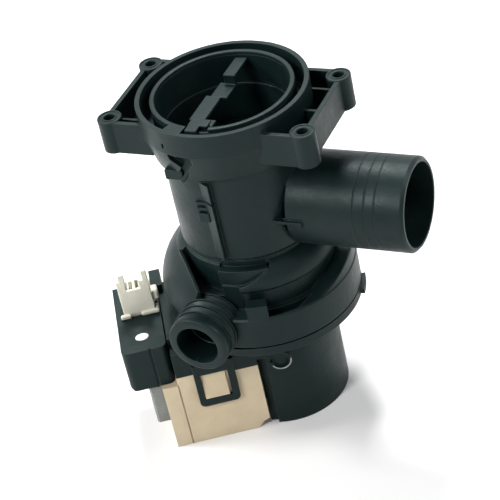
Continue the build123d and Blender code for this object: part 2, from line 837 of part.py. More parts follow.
# Sealing ring of the joint between housing and carrier
with BuildPart() as joint_seal:
    with BuildSketch(Plane.XZ):
        with Locations((o_ring_r, joint_z - o_ring_wire_r)):
            Circle(o_ring_wire_r)
    revolve(axis=Axis.Z)
joint_seal.part.label = "joint_seal"
export_step(joint_seal.part, "parts/joint_seal.step")

# Motor carrier: flange, rotor can, cap over the coil case, latches and the shroud open to the coil
with BuildPart() as motor_carrier:
    with BuildSketch(Plane.XY.offset(carrier_flange_bottom_z)):
        Circle(flange_r)
    extrude(amount=carrier_flange)
    with BuildSketch(Plane.XY.offset(joint_z)):
        Circle(spigot_ring_r)
        Circle(spigot_ring_r - spigot_ring_wall, mode=Mode.SUBTRACT)
    extrude(amount=spigot_ring_rise)
    for angle in bayonet_angles:
        with BuildSketch(Plane.XY.offset(carrier_flange_bottom_z)):
            sector(flange_r - bite, bayonet_r, angle - bayonet_sweep / 2, bayonet_sweep)
        extrude(amount=bayonet_height)
    with BuildSketch(motor_level(carrier_flange_bottom_z)):
        block(cap_left, cap_rise_right, cap_rise_front, cap_rise_back)
    extrude(amount=cap_rise)
    with BuildSketch(Plane.XY.offset(joint_z)):
        Circle(o_ring_r + o_ring_wire_r + o_ring_room)
        Circle(o_ring_r - o_ring_wire_r - o_ring_room, mode=Mode.SUBTRACT)
    extrude(amount=-(2 * o_ring_wire_r + o_ring_room), mode=Mode.SUBTRACT)

    # cap over the coil case
    with BuildSketch(motor_level(carrier_flange_bottom_z)):
        block(cap_left, 0, -cap_half_width, cap_half_width)
    extrude(amount=cap_bottom_z - carrier_flange_bottom_z)
    with BuildSketch(motor_level(carrier_flange_bottom_z - cap_wall)):
        block(cap_left + cap_wall, 0, cap_wall - cap_half_width, cap_half_width - cap_wall)
    extrude(amount=cap_bottom_z - carrier_flange_bottom_z - overrun, mode=Mode.SUBTRACT)

    # shroud, a cup open towards the coil
    with BuildSketch(motor_level(base_z)):
        Circle(shroud_r)
        block(-shroud_r, shroud_edge, -shroud_r, shroud_r, mode=Mode.SUBTRACT)
    extrude(amount=carrier_flange_bottom_z - base_z)
    with BuildSketch(motor_level(base_z)):
        Circle(can_r)
    extrude(amount=carrier_flange_bottom_z - base_z)
    with BuildSketch(motor_level(base_z + shroud_floor)):
        Circle(shroud_r - shroud_wall)
        Circle(can_r, mode=Mode.SUBTRACT)
    extrude(amount=carrier_flange_bottom_z - base_z - shroud_floor, mode=Mode.SUBTRACT)

    with BuildSketch(motor_level(base_z)):
        with BuildSketch(mode=Mode.PRIVATE) as rim_side:
            block(rim_edge, shroud_edge + shroud_wall, -shroud_r, shroud_r)
        Circle(shroud_r - shroud_wall + bite)
        Circle(shroud_r - shroud_wall - rim_wall, mode=Mode.SUBTRACT)
        add(rim_side.sketch, mode=Mode.INTERSECT)
    extrude(amount=carrier_flange_bottom_z - base_z)

    # rotor can, its mouth for the bearing cap, and the boss of the rear bearing
    with BuildSketch(Plane.XY.offset(can_floor_z)):
        Circle(can_r - can_wall)
    extrude(amount=joint_z - can_floor_z + overrun, mode=Mode.SUBTRACT)
    with BuildSketch(Plane.XY.offset(joint_z)):
        Circle(bearing_cap_r + seat_gap)
    extrude(amount=-bearing_cap_depth, mode=Mode.SUBTRACT)
    with BuildSketch(Plane.XY.offset(can_floor_z)):
        Circle(ring_r + seat_gap + rear_boss_wall)
        Circle(ring_r + seat_gap, mode=Mode.SUBTRACT)
    extrude(amount=rear_boss_height)

    # two latch loops that hang down the sides of the coil case
    for side in (-1, 1):
        with BuildSketch(motor_side(side * (cap_half_width + latch_gap))) as latch:
            block(latch_left, latch_right, latch_bottom_z, cap_bottom_z + latch_root)
            fillet(latch.vertices().sort_by(Axis.Y)[:2], radius=latch_round)
            block(
                latch_left + latch_left_bar,
                latch_right - latch_right_bar,
                latch_bottom_z + latch_foot,
                cap_bottom_z,
                mode=Mode.SUBTRACT,
            )
        extrude(amount=-side * latch_wall)
        with BuildSketch(motor_side(side * (cap_half_width - bite))):
            block(latch_left, latch_right, cap_bottom_z, cap_bottom_z + latch_root)
        extrude(amount=-side * (latch_gap + 2 * bite))
        with BuildSketch(motor_side(side * (cap_half_width + cap_skirt_gap))):
            block(latch_right - bite, case_right, cap_bottom_z - cap_skirt, cap_bottom_z + latch_root)
        extrude(amount=-side * cap_skirt_wall)
        with BuildSketch(motor_side(side * (cap_half_width - bite))):
            block(latch_right - bite, case_right, cap_bottom_z, cap_bottom_z + latch_root)
        extrude(amount=-side * (cap_skirt_gap + 2 * bite))

    # half round mark on the shroud
    with BuildSketch(radial_plane(mark_angle + 90).offset(shroud_r - mark_wall)):
        with Locations((0, joint_z - mark_drop)):
            Circle(mark_r)
            Circle(mark_r - mark_wall, mode=Mode.SUBTRACT)
        block(-mark_r, 0, joint_z - mark_drop, joint_z - mark_drop + mark_r, mode=Mode.SUBTRACT)
    extrude(amount=mark_proud + mark_wall)
motor_carrier.part.label = "motor_carrier"
export_step(motor_carrier.part, "parts/motor_carrier.step")
print("carrier", motor_carrier.part.volume, len(motor_carrier.part.solids()))

# Bearing cap in the mouth of the can, with pockets for the front bearing and the shaft seal
with BuildPart() as bearing_cap:
    with BuildSketch(Plane.XY.offset(cap_seat_z)):
        Circle(bearing_cap_r)
    extrude(amount=bearing_cap_top_z - cap_seat_z)
    with BuildSketch(Plane.XY.offset(front_bearing_bottom_z)):
        Circle(ring_r + bearing_hub_wall)
    extrude(amount=cap_seat_z - front_bearing_bottom_z)
    with BuildSketch(Plane.XY.offset(front_bearing_bottom_z)):
        Circle(ring_r)
    extrude(amount=front_bearing_top_z - front_bearing_bottom_z, mode=Mode.SUBTRACT)
    with BuildSketch(Plane.XY.offset(bearing_cap_top_z)):
        Circle(seal_r)
    extrude(amount=-seal_height, mode=Mode.SUBTRACT)
    with BuildSketch(Plane.XY.offset(front_bearing_bottom_z)):
        Circle(shaft_r + turning_gap)
    extrude(amount=bearing_cap_top_z - front_bearing_bottom_z, mode=Mode.SUBTRACT)
bearing_cap.part.label = "bearing_cap"
export_step(bearing_cap.part, "parts/bearing_cap.step")


def ring(name, inner_r, outer_r, bottom_z, top_z):
    """A plain ring about the pump axis, written to its own file."""
    with BuildPart() as made:
        with BuildSketch(Plane.XY.offset(bottom_z)):
            Circle(outer_r)
            Circle(inner_r, mode=Mode.SUBTRACT)
        extrude(amount=top_z - bottom_z)
    made.part.label = name
    export_step(made.part, "parts/" + name + ".step")


# Bearings in their rubber rings, shaft seal, thrust washers, magnet and core
ring("shaft_seal", bore_gap_r, seal_r, seal_bottom_z, bearing_cap_top_z)
ring("front_bearing", bore_gap_r, bearing_r, front_bearing_bottom_z, front_bearing_top_z)
ring("front_bearing_ring", bearing_r, ring_r, front_bearing_bottom_z, front_bearing_top_z)
ring("rear_bearing", bore_gap_r, bearing_r, can_floor_z, rear_bearing_top_z)
ring("rear_bearing_ring", bearing_r, ring_r, can_floor_z, rear_bearing_top_z)
ring("front_thrust_washer", shaft_r, washer_r, core_top_z, front_washer_top_z)
ring("rear_thrust_washer", shaft_r, washer_r, rear_washer_bottom_z, core_bottom_z)
ring("rotor_magnet", core_r, magnet_r, magnet_bottom_z, magnet_bottom_z + magnet_length)
ring("rotor_core", shaft_r, core_r, core_bottom_z, core_top_z)

# Shaft
with BuildPart() as rotor_shaft:
    with BuildSketch(Plane.XY.offset(shaft_bottom_z)):
        Circle(shaft_r)
    extrude(amount=shaft_top_z - shaft_bottom_z)
rotor_shaft.part.label = "rotor_shaft"
export_step(rotor_shaft.part, "parts/rotor_shaft.step")

# Driver on the shaft: one tooth that meets the stop in the impeller's hub
with BuildPart() as impeller_driver:
    with BuildSketch(Plane.XY.offset(driver_bottom_z)):
        Circle(driver_r)
        sector(driver_r - bite, driver_tooth_r, -tooth_sweep / 2, tooth_sweep)
        Circle(shaft_r, mode=Mode.SUBTRACT)
    extrude(amount=driver_top_z - driver_bottom_z)
impeller_driver.part.label = "impeller_driver"
export_step(impeller_driver.part, "parts/impeller_driver.step")

# Impeller: straight vanes on a hollow hub, with the stop inside
with BuildPart() as impeller:
    with BuildSketch(Plane.XY.offset(hub_bottom_z)):
        Circle(impeller_disc_r)
    extrude(amount=impeller_disc_wall)
    with BuildSketch(Plane.XY.offset(hub_bottom_z)):
        Circle(hub_r)
    extrude(amount=hub_height)
    with BuildSketch(Plane.XY.offset(hub_bottom_z)):
        with PolarLocations(0, impeller_vanes):
            Rectangle(impeller_r, impeller_vane_wall, align=(Align.MIN, Align.CENTER))
    extrude(amount=vane_top_z - hub_bottom_z)
    with BuildSketch(Plane.XY.offset(hub_bottom_z)):
        Circle(hub_room_r)
    extrude(amount=hub_roof_z - hub_bottom_z, mode=Mode.SUBTRACT)
    with BuildSketch(Plane.XY.offset(hub_roof_z)):
        Circle(bore_gap_r)
    extrude(amount=hub_pin_depth, mode=Mode.SUBTRACT)
    with BuildSketch(Plane.XY.offset(hub_cover_top_z)):
        stop_start = tooth_sweep / 2 + (stop_rest_angle - tooth_sweep / 2)
        sector(driver_r + driver_gap, hub_room_r + bite, stop_start, stop_sweep)
    extrude(amount=hub_roof_z - hub_cover_top_z)
impeller.part.label = "impeller"
export_step(impeller.part, "parts/impeller.step")
print("impeller", len(impeller.part.solids()))

# Cover that closes the hub from below
ring("hub_cover", bore_gap_r, hub_room_r, hub_bottom_z, hub_cover_top_z)

# Stator: two legs beside the can and the yoke that joins them
with BuildPart() as stator_core:
    with BuildSketch(motor_level(stack_bottom_z)):
        block(yoke_left + yoke_wall, leg_right, leg_inner, leg_outer)
        block(yoke_left + yoke_wall, leg_right, -leg_outer, -leg_inner)
        Circle(can_r + pole_gap, mode=Mode.SUBTRACT)
    extrude(amount=stack_height)
stator_core.part.label = "stator_core"
export_step(stator_core.part, "parts/stator_core.step")
with BuildPart() as stator_yoke:
    with BuildSketch(motor_level(stack_bottom_z)):
        block(yoke_left, yoke_left + yoke_wall, -leg_outer, leg_outer)
    extrude(amount=stack_height)
stator_yoke.part.label = "stator_yoke"
export_step(stator_yoke.part, "parts/stator_yoke.step")
print("stator", len(stator_core.part.solids()))

# Two bobbins on the legs, each with its winding
bobbin_outer_side = case_half_width - case_wall - seat_gap
bobbin_end_plane = Plane(origin=(0, 0, 0), x_dir=motor_y, z_dir=motor_x)
for name, side in (("front", -1), ("rear", 1)):
    near = side * bobbin_inner_side
    far = side * bobbin_outer_side
    hole_near = side * (leg_inner - leg_room)
    hole_far = side * (leg_outer + leg_room)
    tube_near = hole_near - side * bobbin_wall
    tube_far = hole_far + side * bobbin_wall
    hole_half = stack_height / 2 + leg_room
    with BuildPart() as bobbin:
        with BuildSketch(bobbin_end_plane.offset(bobbin_left)):
            block(
                min(tube_near, tube_far),
                max(tube_near, tube_far),
                stack_mid_z - hole_half - bobbin_wall,
                stack_mid_z + hole_half + bobbin_wall,
            )
        extrude(amount=bobbin_right - bobbin_left)
        for start_x in (bobbin_left, bobbin_right - bobbin_flange):
            with BuildSketch(bobbin_end_plane.offset(start_x)):
                block(
                    min(near, far),
                    max(near, far),
                    stack_mid_z - bobbin_half_height,
                    stack_mid_z + bobbin_half_height,
                )
            extrude(amount=bobbin_flange)
        hole_ends = sorted((hole_near, hole_far))
        with BuildSketch(bobbin_end_plane.offset(bobbin_left)):
            block(hole_ends[0], hole_ends[1], stack_mid_z - hole_half, stack_mid_z + hole_half)
        extrude(amount=bobbin_right - bobbin_left, mode=Mode.SUBTRACT)
    bobbin.part.label = "bobbin_" + name
    export_step(bobbin.part, "parts/bobbin_" + name + ".step")
    with BuildPart() as winding:
        with BuildSketch(bobbin_end_plane.offset(bobbin_left + bobbin_flange)) as turns:
            block(
                min(near, far) + winding_inset,
                max(near, far) - winding_inset,
                stack_mid_z - bobbin_half_height + winding_inset,
                stack_mid_z + bobbin_half_height - winding_inset,
            )
            fillet(turns.vertices(), radius=winding_round)
            block(
                min(tube_near, tube_far),
                max(tube_near, tube_far),
                stack_mid_z - hole_half - bobbin_wall,
                stack_mid_z + hole_half + bobbin_wall,
                mode=Mode.SUBTRACT,
            )
        extrude(amount=bobbin_right - bobbin_left - 2 * bobbin_flange)
    winding.part.label = "winding_" + name
    export_step(winding.part, "parts/winding_" + name + ".step")

# Coil case, open at the seam and cut round the can
leg_hole_bottom = stack_bottom_z - leg_room
leg_hole_top = stack_top_z + leg_room
with BuildPart() as coil_case:
    with BuildSketch(motor_side(-case_half_width)):
        with BuildLine():
            Polyline(
                (case_seam, base_z),
                (case_right - case_step_x, base_z),
                (case_right - case_step_mid_x, base_z + case_step_mid_z),
                (case_right, base_z + case_step_z),
                (case_right, cap_bottom_z),
                (case_seam, cap_bottom_z),
                close=True,
            )
        make_face()
    extrude(amount=-2 * case_half_width)
    with BuildSketch(motor_side(case_wall - case_half_width)):
        with BuildLine():
            Polyline(
                (case_seam - overrun, base_z + case_wall),
                (case_right - case_step_x - case_wall / 2, base_z + case_wall),
                (case_right - case_step_mid_x - case_wall, base_z + case_step_mid_z + case_wall / 2),
                (case_right - case_wall, base_z + case_step_z + case_wall / 2),
                (case_right - case_wall, cap_bottom_z - case_wall),
                (case_seam - overrun, cap_bottom_z - case_wall),
                close=True,
            )
        make_face()
    extrude(amount=-2 * (case_half_width - case_wall), mode=Mode.SUBTRACT)
    with BuildSketch(motor_level(leg_hole_bottom)):
        block(case_right - 2 * case_wall, case_right + overrun, -leg_outer - leg_room, leg_outer + leg_room)
    extrude(amount=leg_hole_top - leg_hole_bottom, mode=Mode.SUBTRACT)
    with BuildSketch(motor_level(base_z - overrun)):
        Circle(can_r + can_room)
    extrude(amount=cap_bottom_z - base_z + 2 * overrun, mode=Mode.SUBTRACT)

    # groove along the seam with the end cap
    for side in (-1, 1):
        with BuildSketch(motor_side(side * (case_half_width - seam_groove))):
            block(case_seam - overrun, case_seam + seam_groove, base_z - overrun, cap_bottom_z + overrun)
        extrude(amount=-side * (seam_groove + overrun), mode=Mode.SUBTRACT)

    # nubs that the latches hook over, sloped at the top
    for side in (-1, 1):
        face_y = side * (case_half_width - bite)
        tip_y = side * (case_half_width + nub_proud)
        lead_y = side * (case_half_width + nub_top_proud)
        with BuildSketch(bobbin_end_plane.offset(nub_left)):
            with BuildLine():
                Polyline(
                    (face_y, nub_bottom_z),
                    (tip_y, nub_bottom_z),
                    (lead_y, nub_bottom_z + nub_height),
                    (face_y, nub_bottom_z + nub_height),
                    close=True,
                )
            make_face()
        extrude(amount=nub_right - nub_left)
coil_case.part.label = "coil_case"
export_step(coil_case.part, "parts/coil_case.step")
print("case", len(coil_case.part.solids()))

# End cap of the coil case, with the holes of the legs and of the coil leads
with BuildPart() as coil_end_cap:
    with BuildSketch(motor_level(base_z)):
        block(case_left, case_seam, -case_half_width, case_half_width)
    extrude(amount=case_end_top_z - base_z)
    with BuildSketch(motor_level(base_z + case_wall)):
        inner_half_width = case_half_width - case_wall
        block(case_left + case_wall, case_seam + overrun, -inner_half_width, inner_half_width)
    extrude(amount=case_end_top_z - base_z - 2 * case_wall, mode=Mode.SUBTRACT)
    with BuildSketch(motor_level(leg_hole_bottom)):
        for side in (-1, 1):
            near = side * (leg_inner - leg_room)
            far = side * (leg_outer + leg_room)
            block(case_left - overrun, case_left + 2 * case_wall, min(near, far), max(near, far))
    extrude(amount=leg_hole_top - leg_hole_bottom, mode=Mode.SUBTRACT)
    with BuildSketch(motor_level(case_end_top_z)):
        block(lead_hole_left, lead_hole_right, -lead_hole_half_width, lead_hole_half_width)
    extrude(amount=-2 * case_wall, mode=Mode.SUBTRACT)
coil_end_cap.part.label = "coil_end_cap"
export_step(coil_end_cap.part, "parts/coil_end_cap.step")

# Terminal box over the end of the coil case
tab_middle_x = (header_left + header_right) / 2
tab_middle_y = header_front + header_depth / 2
with BuildPart() as terminal_box:
    with BuildSketch(motor_level(case_end_top_z)) as box_plan:
        block(box_left, box_right, -box_half_width, box_half_width)
        fillet(box_plan.vertices().sort_by(Axis((0, 0, 0), motor_x))[:2], radius=box_side_round)
    extrude(amount=box_top_z - case_end_top_z)
    with BuildSketch(motor_level(box_top_z + box_lug_rise)):
        block(box_lug_left, box_lug_right, box_lug_front, box_lug_back)
    extrude(amount=-(box_lug_rise + box_lug_drop))
    with BuildSketch(motor_level(case_end_top_z + box_wall)):
        block(
            box_left + box_wall,
            box_right - box_wall,
            box_wall - box_half_width,
            box_half_width - box_wall,
        )
    extrude(amount=box_top_z - case_end_top_z - 2 * box_wall, mode=Mode.SUBTRACT)

    # room for the carrier's flange
    with BuildSketch(Plane.XY.offset(carrier_flange_bottom_z - turning_gap)):
        Circle(flange_r + turning_gap)
    extrude(amount=carrier_flange + flange_band, mode=Mode.SUBTRACT)

    # long edge under the front left, cut back, and the cut corner over the coil case
    with BuildSketch(motor_side(-box_half_width - overrun)):
        with BuildLine():
            Polyline(
                (box_left - overrun, case_end_top_z - overrun),
                (box_left + box_foot_cut, case_end_top_z - overrun),
                (box_left + box_foot_cut, case_end_top_z),
                (box_left, case_end_top_z + box_foot_cut),
                (box_left - overrun, case_end_top_z + box_foot_cut),
                close=True,
            )
        make_face()
    extrude(amount=-2 * (box_half_width + overrun), mode=Mode.SUBTRACT)

    # groove down the front face
    with BuildSketch(motor_side(-box_half_width + box_groove_depth)):
        block(
            box_groove_x - box_groove / 2,
            box_groove_x + box_groove / 2,
            case_end_top_z - overrun,
            box_top_z + overrun,
        )
    extrude(amount=box_groove_depth + overrun, mode=Mode.SUBTRACT)

    # holes of the tabs above and of the coil leads below
    with BuildSketch(motor_level(box_top_z)):
        for side in (-1, 1):
            tab_x = tab_middle_x + side * tab_spacing / 2
            block(
                tab_x - tab_wall / 2 - seat_gap,
                tab_x + tab_wall / 2 + seat_gap,
                tab_middle_y - tab_width / 2 - seat_gap,
                tab_middle_y + tab_width / 2 + seat_gap,
            )
    extrude(amount=-2 * box_wall, mode=Mode.SUBTRACT)
    with BuildSketch(motor_level(case_end_top_z)):
        block(lead_hole_left, lead_hole_right, -lead_hole_half_width, lead_hole_half_width)
    extrude(amount=box_wall, mode=Mode.SUBTRACT)

    # ribs that hold the thermal fuse
    fuse_floor_z = case_end_top_z + box_wall
    with BuildSketch(motor_level(fuse_floor_z)):
        for side in (-1, 1):
            rib_y = fuse_y + side * (fuse_r + seat_gap + fuse_rib_wall / 2)
            block(fuse_x, fuse_x + fuse_length / 2, rib_y - fuse_rib_wall / 2, rib_y + fuse_rib_wall / 2)
    extrude(amount=fuse_rib_height)
terminal_box.part.label = "terminal_box"
export_step(terminal_box.part, "parts/terminal_box.step")
print("box", len(terminal_box.part.solids()))

# Plug header: an open socket on the box, with keying arms, lips and a hook
header_back = header_front + header_depth
with BuildPart() as connector_header:
    with BuildSketch(motor_level(box_top_z)):
        block(header_left, header_right, header_front, header_back)
    extrude(amount=header_height)
    with BuildSketch(motor_level(box_top_z)):
        arm_back = header_front + header_wall
        block(header_arm_left, header_arm_left + header_arm_left_width, header_front, arm_back)
        block(header_arm_right - header_arm_right_width, header_arm_right, header_front, arm_back)
    extrude(amount=header_height + header_arm_rise)
    with BuildSketch(motor_level(box_top_z)):
        lip_front = header_front - header_lip_reach
        block(header_lip_left, header_lip_right, lip_front, header_back + header_lip_reach)
        lip_cut = lip_front - overrun
        block(header_lip_gap_left, header_lip_gap_right, lip_cut, header_front, mode=Mode.SUBTRACT)
    extrude(amount=header_lip_height)
    with BuildSketch(motor_level(box_top_z + header_hook_rise)):
        block(
            header_right - bite,
            header_right + header_hook_width,
            header_front + header_wall,
            header_front + header_depth / 2,
        )
    extrude(amount=header_hook_height)
    with BuildSketch(motor_level(box_top_z + header_floor)):
        block(
            header_left + header_wall,
            header_right - header_wall,
            header_front + header_wall,
            header_back - header_wall,
        )
    extrude(amount=header_height + overrun, mode=Mode.SUBTRACT)
    with BuildSketch(motor_level(header_top_z - header_back_drop)):
        header_side_y = header_front + header_side
        block(header_left - overrun, header_right + overrun, header_side_y, header_back + overrun)
    extrude(amount=header_back_drop + overrun, mode=Mode.SUBTRACT)
    with BuildSketch(motor_level(header_top_z - header_notch_depth)):
        block(header_notch_left, header_notch_right, header_front - overrun, header_front + 2 * header_wall)
    extrude(amount=header_notch_depth + overrun, mode=Mode.SUBTRACT)
    with BuildSketch(motor_level(box_top_z)):
        for side in (-1, 1):
            tab_x = tab_middle_x + side * tab_spacing / 2
            block(
                tab_x - tab_wall / 2,
                tab_x + tab_wall / 2,
                tab_middle_y - tab_width / 2,
                tab_middle_y + tab_width / 2,
            )
    extrude(amount=2 * header_floor, mode=Mode.SUBTRACT)
    with BuildSketch(Plane.XY.offset(box_top_z)):
        Circle(flange_r + turning_gap)
    extrude(amount=header_height + header_arm_rise, mode=Mode.SUBTRACT)
connector_header.part.label = "connector_header"
export_step(connector_header.part, "parts/connector_header.step")
print("header", len(connector_header.part.solids()))

# Two flat tabs in the socket
with BuildPart() as terminal_tabs:
    with BuildSketch(motor_level(box_top_z - tab_foot)):
        for side in (-1, 1):
            tab_x = tab_middle_x + side * tab_spacing / 2
            block(
                tab_x - tab_wall / 2,
                tab_x + tab_wall / 2,
                tab_middle_y - tab_width / 2,
                tab_middle_y + tab_width / 2,
            )
    extrude(amount=tab_foot + header_floor + tab_reach)
terminal_tabs.part.label = "terminal_tabs"
export_step(terminal_tabs.part, "parts/terminal_tabs.step")

# Thermal fuse on the floor of the box
with BuildPart() as thermal_fuse:
    with BuildSketch(bobbin_end_plane.offset(fuse_x - fuse_length / 4)):
        with Locations((fuse_y, fuse_floor_z + fuse_r)):
            Circle(fuse_r)
    extrude(amount=fuse_length)
thermal_fuse.part.label = "thermal_fuse"
export_step(thermal_fuse.part, "parts/thermal_fuse.step")
print("pieces written")
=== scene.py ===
import math

import bmesh
import bpy
from mathutils import Matrix, Vector


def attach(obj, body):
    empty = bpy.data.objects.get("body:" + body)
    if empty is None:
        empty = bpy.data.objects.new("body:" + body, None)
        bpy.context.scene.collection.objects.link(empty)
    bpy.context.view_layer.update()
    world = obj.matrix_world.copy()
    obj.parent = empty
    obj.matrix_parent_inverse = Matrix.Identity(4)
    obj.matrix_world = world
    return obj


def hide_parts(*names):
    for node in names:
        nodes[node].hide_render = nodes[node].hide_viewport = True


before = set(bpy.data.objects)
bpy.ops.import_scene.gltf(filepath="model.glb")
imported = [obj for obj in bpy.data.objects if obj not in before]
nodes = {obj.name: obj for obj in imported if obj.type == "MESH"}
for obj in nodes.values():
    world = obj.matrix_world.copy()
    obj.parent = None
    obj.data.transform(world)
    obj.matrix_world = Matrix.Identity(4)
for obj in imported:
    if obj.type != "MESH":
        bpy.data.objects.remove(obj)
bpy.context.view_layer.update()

mm = 0.001
motorTurn = math.radians(30.8)  # the motor stands turned under the pump
sharpFrom = math.radians(35)  # edges of turned pieces stay crisp above this
print("stage: frame loaded,", len(nodes), "nodes")


def motorSpot(x, y, z):  # from the motor's own axes to the pump's, in millimetres
    c, s = math.cos(motorTurn), math.sin(motorTurn)
    return Vector(((x * c - y * s) * mm, (x * s + y * c) * mm, z * mm))


# camera at the photograph's viewing angle
viewPoint = {
    "turn": 30.21,        # degrees round the pump axis
    "height": 35.71,      # degrees above the floor
    "roll": -13.0,        # degrees round the line of sight
    "distance": 0.8236,   # metres
    "targetZ": -0.07928,
    "slideRight": -0.00357,
    "lens": 137.13,       # millimetres
    "sensor": 36.0,
    "farClip": 20.0,
}


def placeCamera(spot):
    turn, height, roll = (math.radians(spot[k]) for k in ("turn", "height", "roll"))
    flat = math.cos(height)
    back = Vector((math.sin(turn) * flat, -math.cos(turn) * flat, math.sin(height)))
    level = Vector((math.cos(turn), math.sin(turn), 0))
    rise = back.cross(level)
    right = level * math.cos(roll) + rise * math.sin(roll)
    up = rise * math.cos(roll) - level * math.sin(roll)
    place = Vector((0, 0, spot["targetZ"])) + back * spot["distance"] + right * spot["slideRight"]
    camera = bpy.data.objects.new("camera", bpy.data.cameras.new("camera"))
    bpy.context.scene.collection.objects.link(camera)
    camera.matrix_world = Matrix((
        (right.x, up.x, back.x, place.x),
        (right.y, up.y, back.y, place.y),
        (right.z, up.z, back.z, place.z),
        (0, 0, 0, 1),
    ))
    camera.data.lens = spot["lens"]
    camera.data.sensor_width = spot["sensor"]
    camera.data.clip_end = spot["farClip"]
    camera.data.dof.use_dof = False
    bpy.context.scene.camera = camera


placeCamera(viewPoint)
bpy.context.scene.view_settings.view_transform = "Standard"
print("stage: camera")

# floor, lamps and backdrop
studio = {
    "floorZ": -0.1543,
    "floorSize": 6.0,
    "floorTone": 0.80,
    "floorGlow": 0.03,  # seen straight and in reflections only, keeps the lit floor white
    "worldLevel": 0.08,
    "lamps": [  # place, size, power, aim
        ((-1.50, -0.40, 1.20), 0.60, 30.0, (0, 0, -0.08)),
        ((-0.36, 1.00, 1.85), 0.50, 54.0, (0, 0, -0.08)),
        ((-0.45, -1.45, 1.15), 0.60, 21.0, (0, 0, -0.08)),
        ((1.45, 0.60, 0.90), 0.80, 15.0, (0, 0, -0.10)),
        ((-0.86, -0.76, 1.70), 0.50, 5.0, (0, 0, -0.08)),
    ],
}


def viewRays(tree):  # 1 where the camera, a gloss or a clear piece looks straight at it
    path = tree.nodes.new("ShaderNodeLightPath")
    total = tree.nodes.new("ShaderNodeMath")
    total.operation = "MAXIMUM"
    tree.links.new(path.outputs["Is Camera Ray"], total.inputs[0])
    tree.links.new(path.outputs["Is Glossy Ray"], total.inputs[1])
    both = tree.nodes.new("ShaderNodeMath")
    both.operation = "MAXIMUM"
    tree.links.new(total.outputs[0], both.inputs[0])
    tree.links.new(path.outputs["Is Transmission Ray"], both.inputs[1])
    return both.outputs[0]


def floorMaterial(kit):
    made = bpy.data.materials.new("studioFloor")
    made.use_nodes = True
    tree = made.node_tree
    tree.nodes.clear()
    out = tree.nodes.new("ShaderNodeOutputMaterial")
    plain = tree.nodes.new("ShaderNodeBsdfDiffuse")
    plain.inputs["Color"].default_value = (kit["floorTone"],) * 3 + (1,)
    glow = tree.nodes.new("ShaderNodeEmission")
    glowLevel = tree.nodes.new("ShaderNodeMath")
    glowLevel.operation = "MULTIPLY"
    glowLevel.inputs[1].default_value = kit["floorGlow"]
    tree.links.new(viewRays(tree), glowLevel.inputs[0])
    tree.links.new(glowLevel.outputs[0], glow.inputs["Strength"])
    both = tree.nodes.new("ShaderNodeAddShader")
    tree.links.new(plain.outputs[0], both.inputs[0])
    tree.links.new(glow.outputs[0], both.inputs[1])
    tree.links.new(both.outputs[0], out.inputs[0])
    return made


def makeFloor(kit):
    half = kit["floorSize"] / 2
    corners = [(-half, -half), (half, -half), (half, half), (-half, half)]
    mesh = bpy.data.meshes.new("floor")
    mesh.from_pydata([(x, y, kit["floorZ"]) for x, y in corners], [], [(0, 1, 2, 3)])
    floor = bpy.data.objects.new("floor", mesh)
    bpy.context.scene.collection.objects.link(floor)
    floor.data.materials.append(floorMaterial(kit))


def makeLamps(kit):
    for i, (place, size, power, aim) in enumerate(kit["lamps"]):
        data = bpy.data.lights.new("lamp%d" % i, "AREA")
        data.shape = "DISK"
        data.size = size
        data.energy = power
        lamp = bpy.data.objects.new("lamp%d" % i, data)
        bpy.context.scene.collection.objects.link(lamp)
        away = (Vector(place) - Vector(aim)).normalized()
        lamp.rotation_euler = away.to_track_quat("Z", "Y").to_euler()
        lamp.location = place


def makeWorld(kit):
    world = bpy.data.worlds.new("studio")
    bpy.context.scene.world = world
    world.use_nodes = True
    tree = world.node_tree
    tree.nodes.clear()
    out = tree.nodes.new("ShaderNodeOutputWorld")
    soft = tree.nodes.new("ShaderNodeBackground")
    soft.inputs["Strength"].default_value = kit["worldLevel"]
    white = tree.nodes.new("ShaderNodeBackground")
    pick = tree.nodes.new("ShaderNodeMixShader")
    for sky in (soft, white):
        sky.inputs["Color"].default_value = (1, 1, 1, 1)
    tree.links.new(viewRays(tree), pick.inputs[0])
    tree.links.new(soft.outputs[0], pick.inputs[1])
    tree.links.new(white.outputs[0], pick.inputs[2])
    tree.links.new(pick.outputs[0], out.inputs[0])


makeFloor(studio)
makeLamps(studio)
makeWorld(studio)
print("stage: studio")


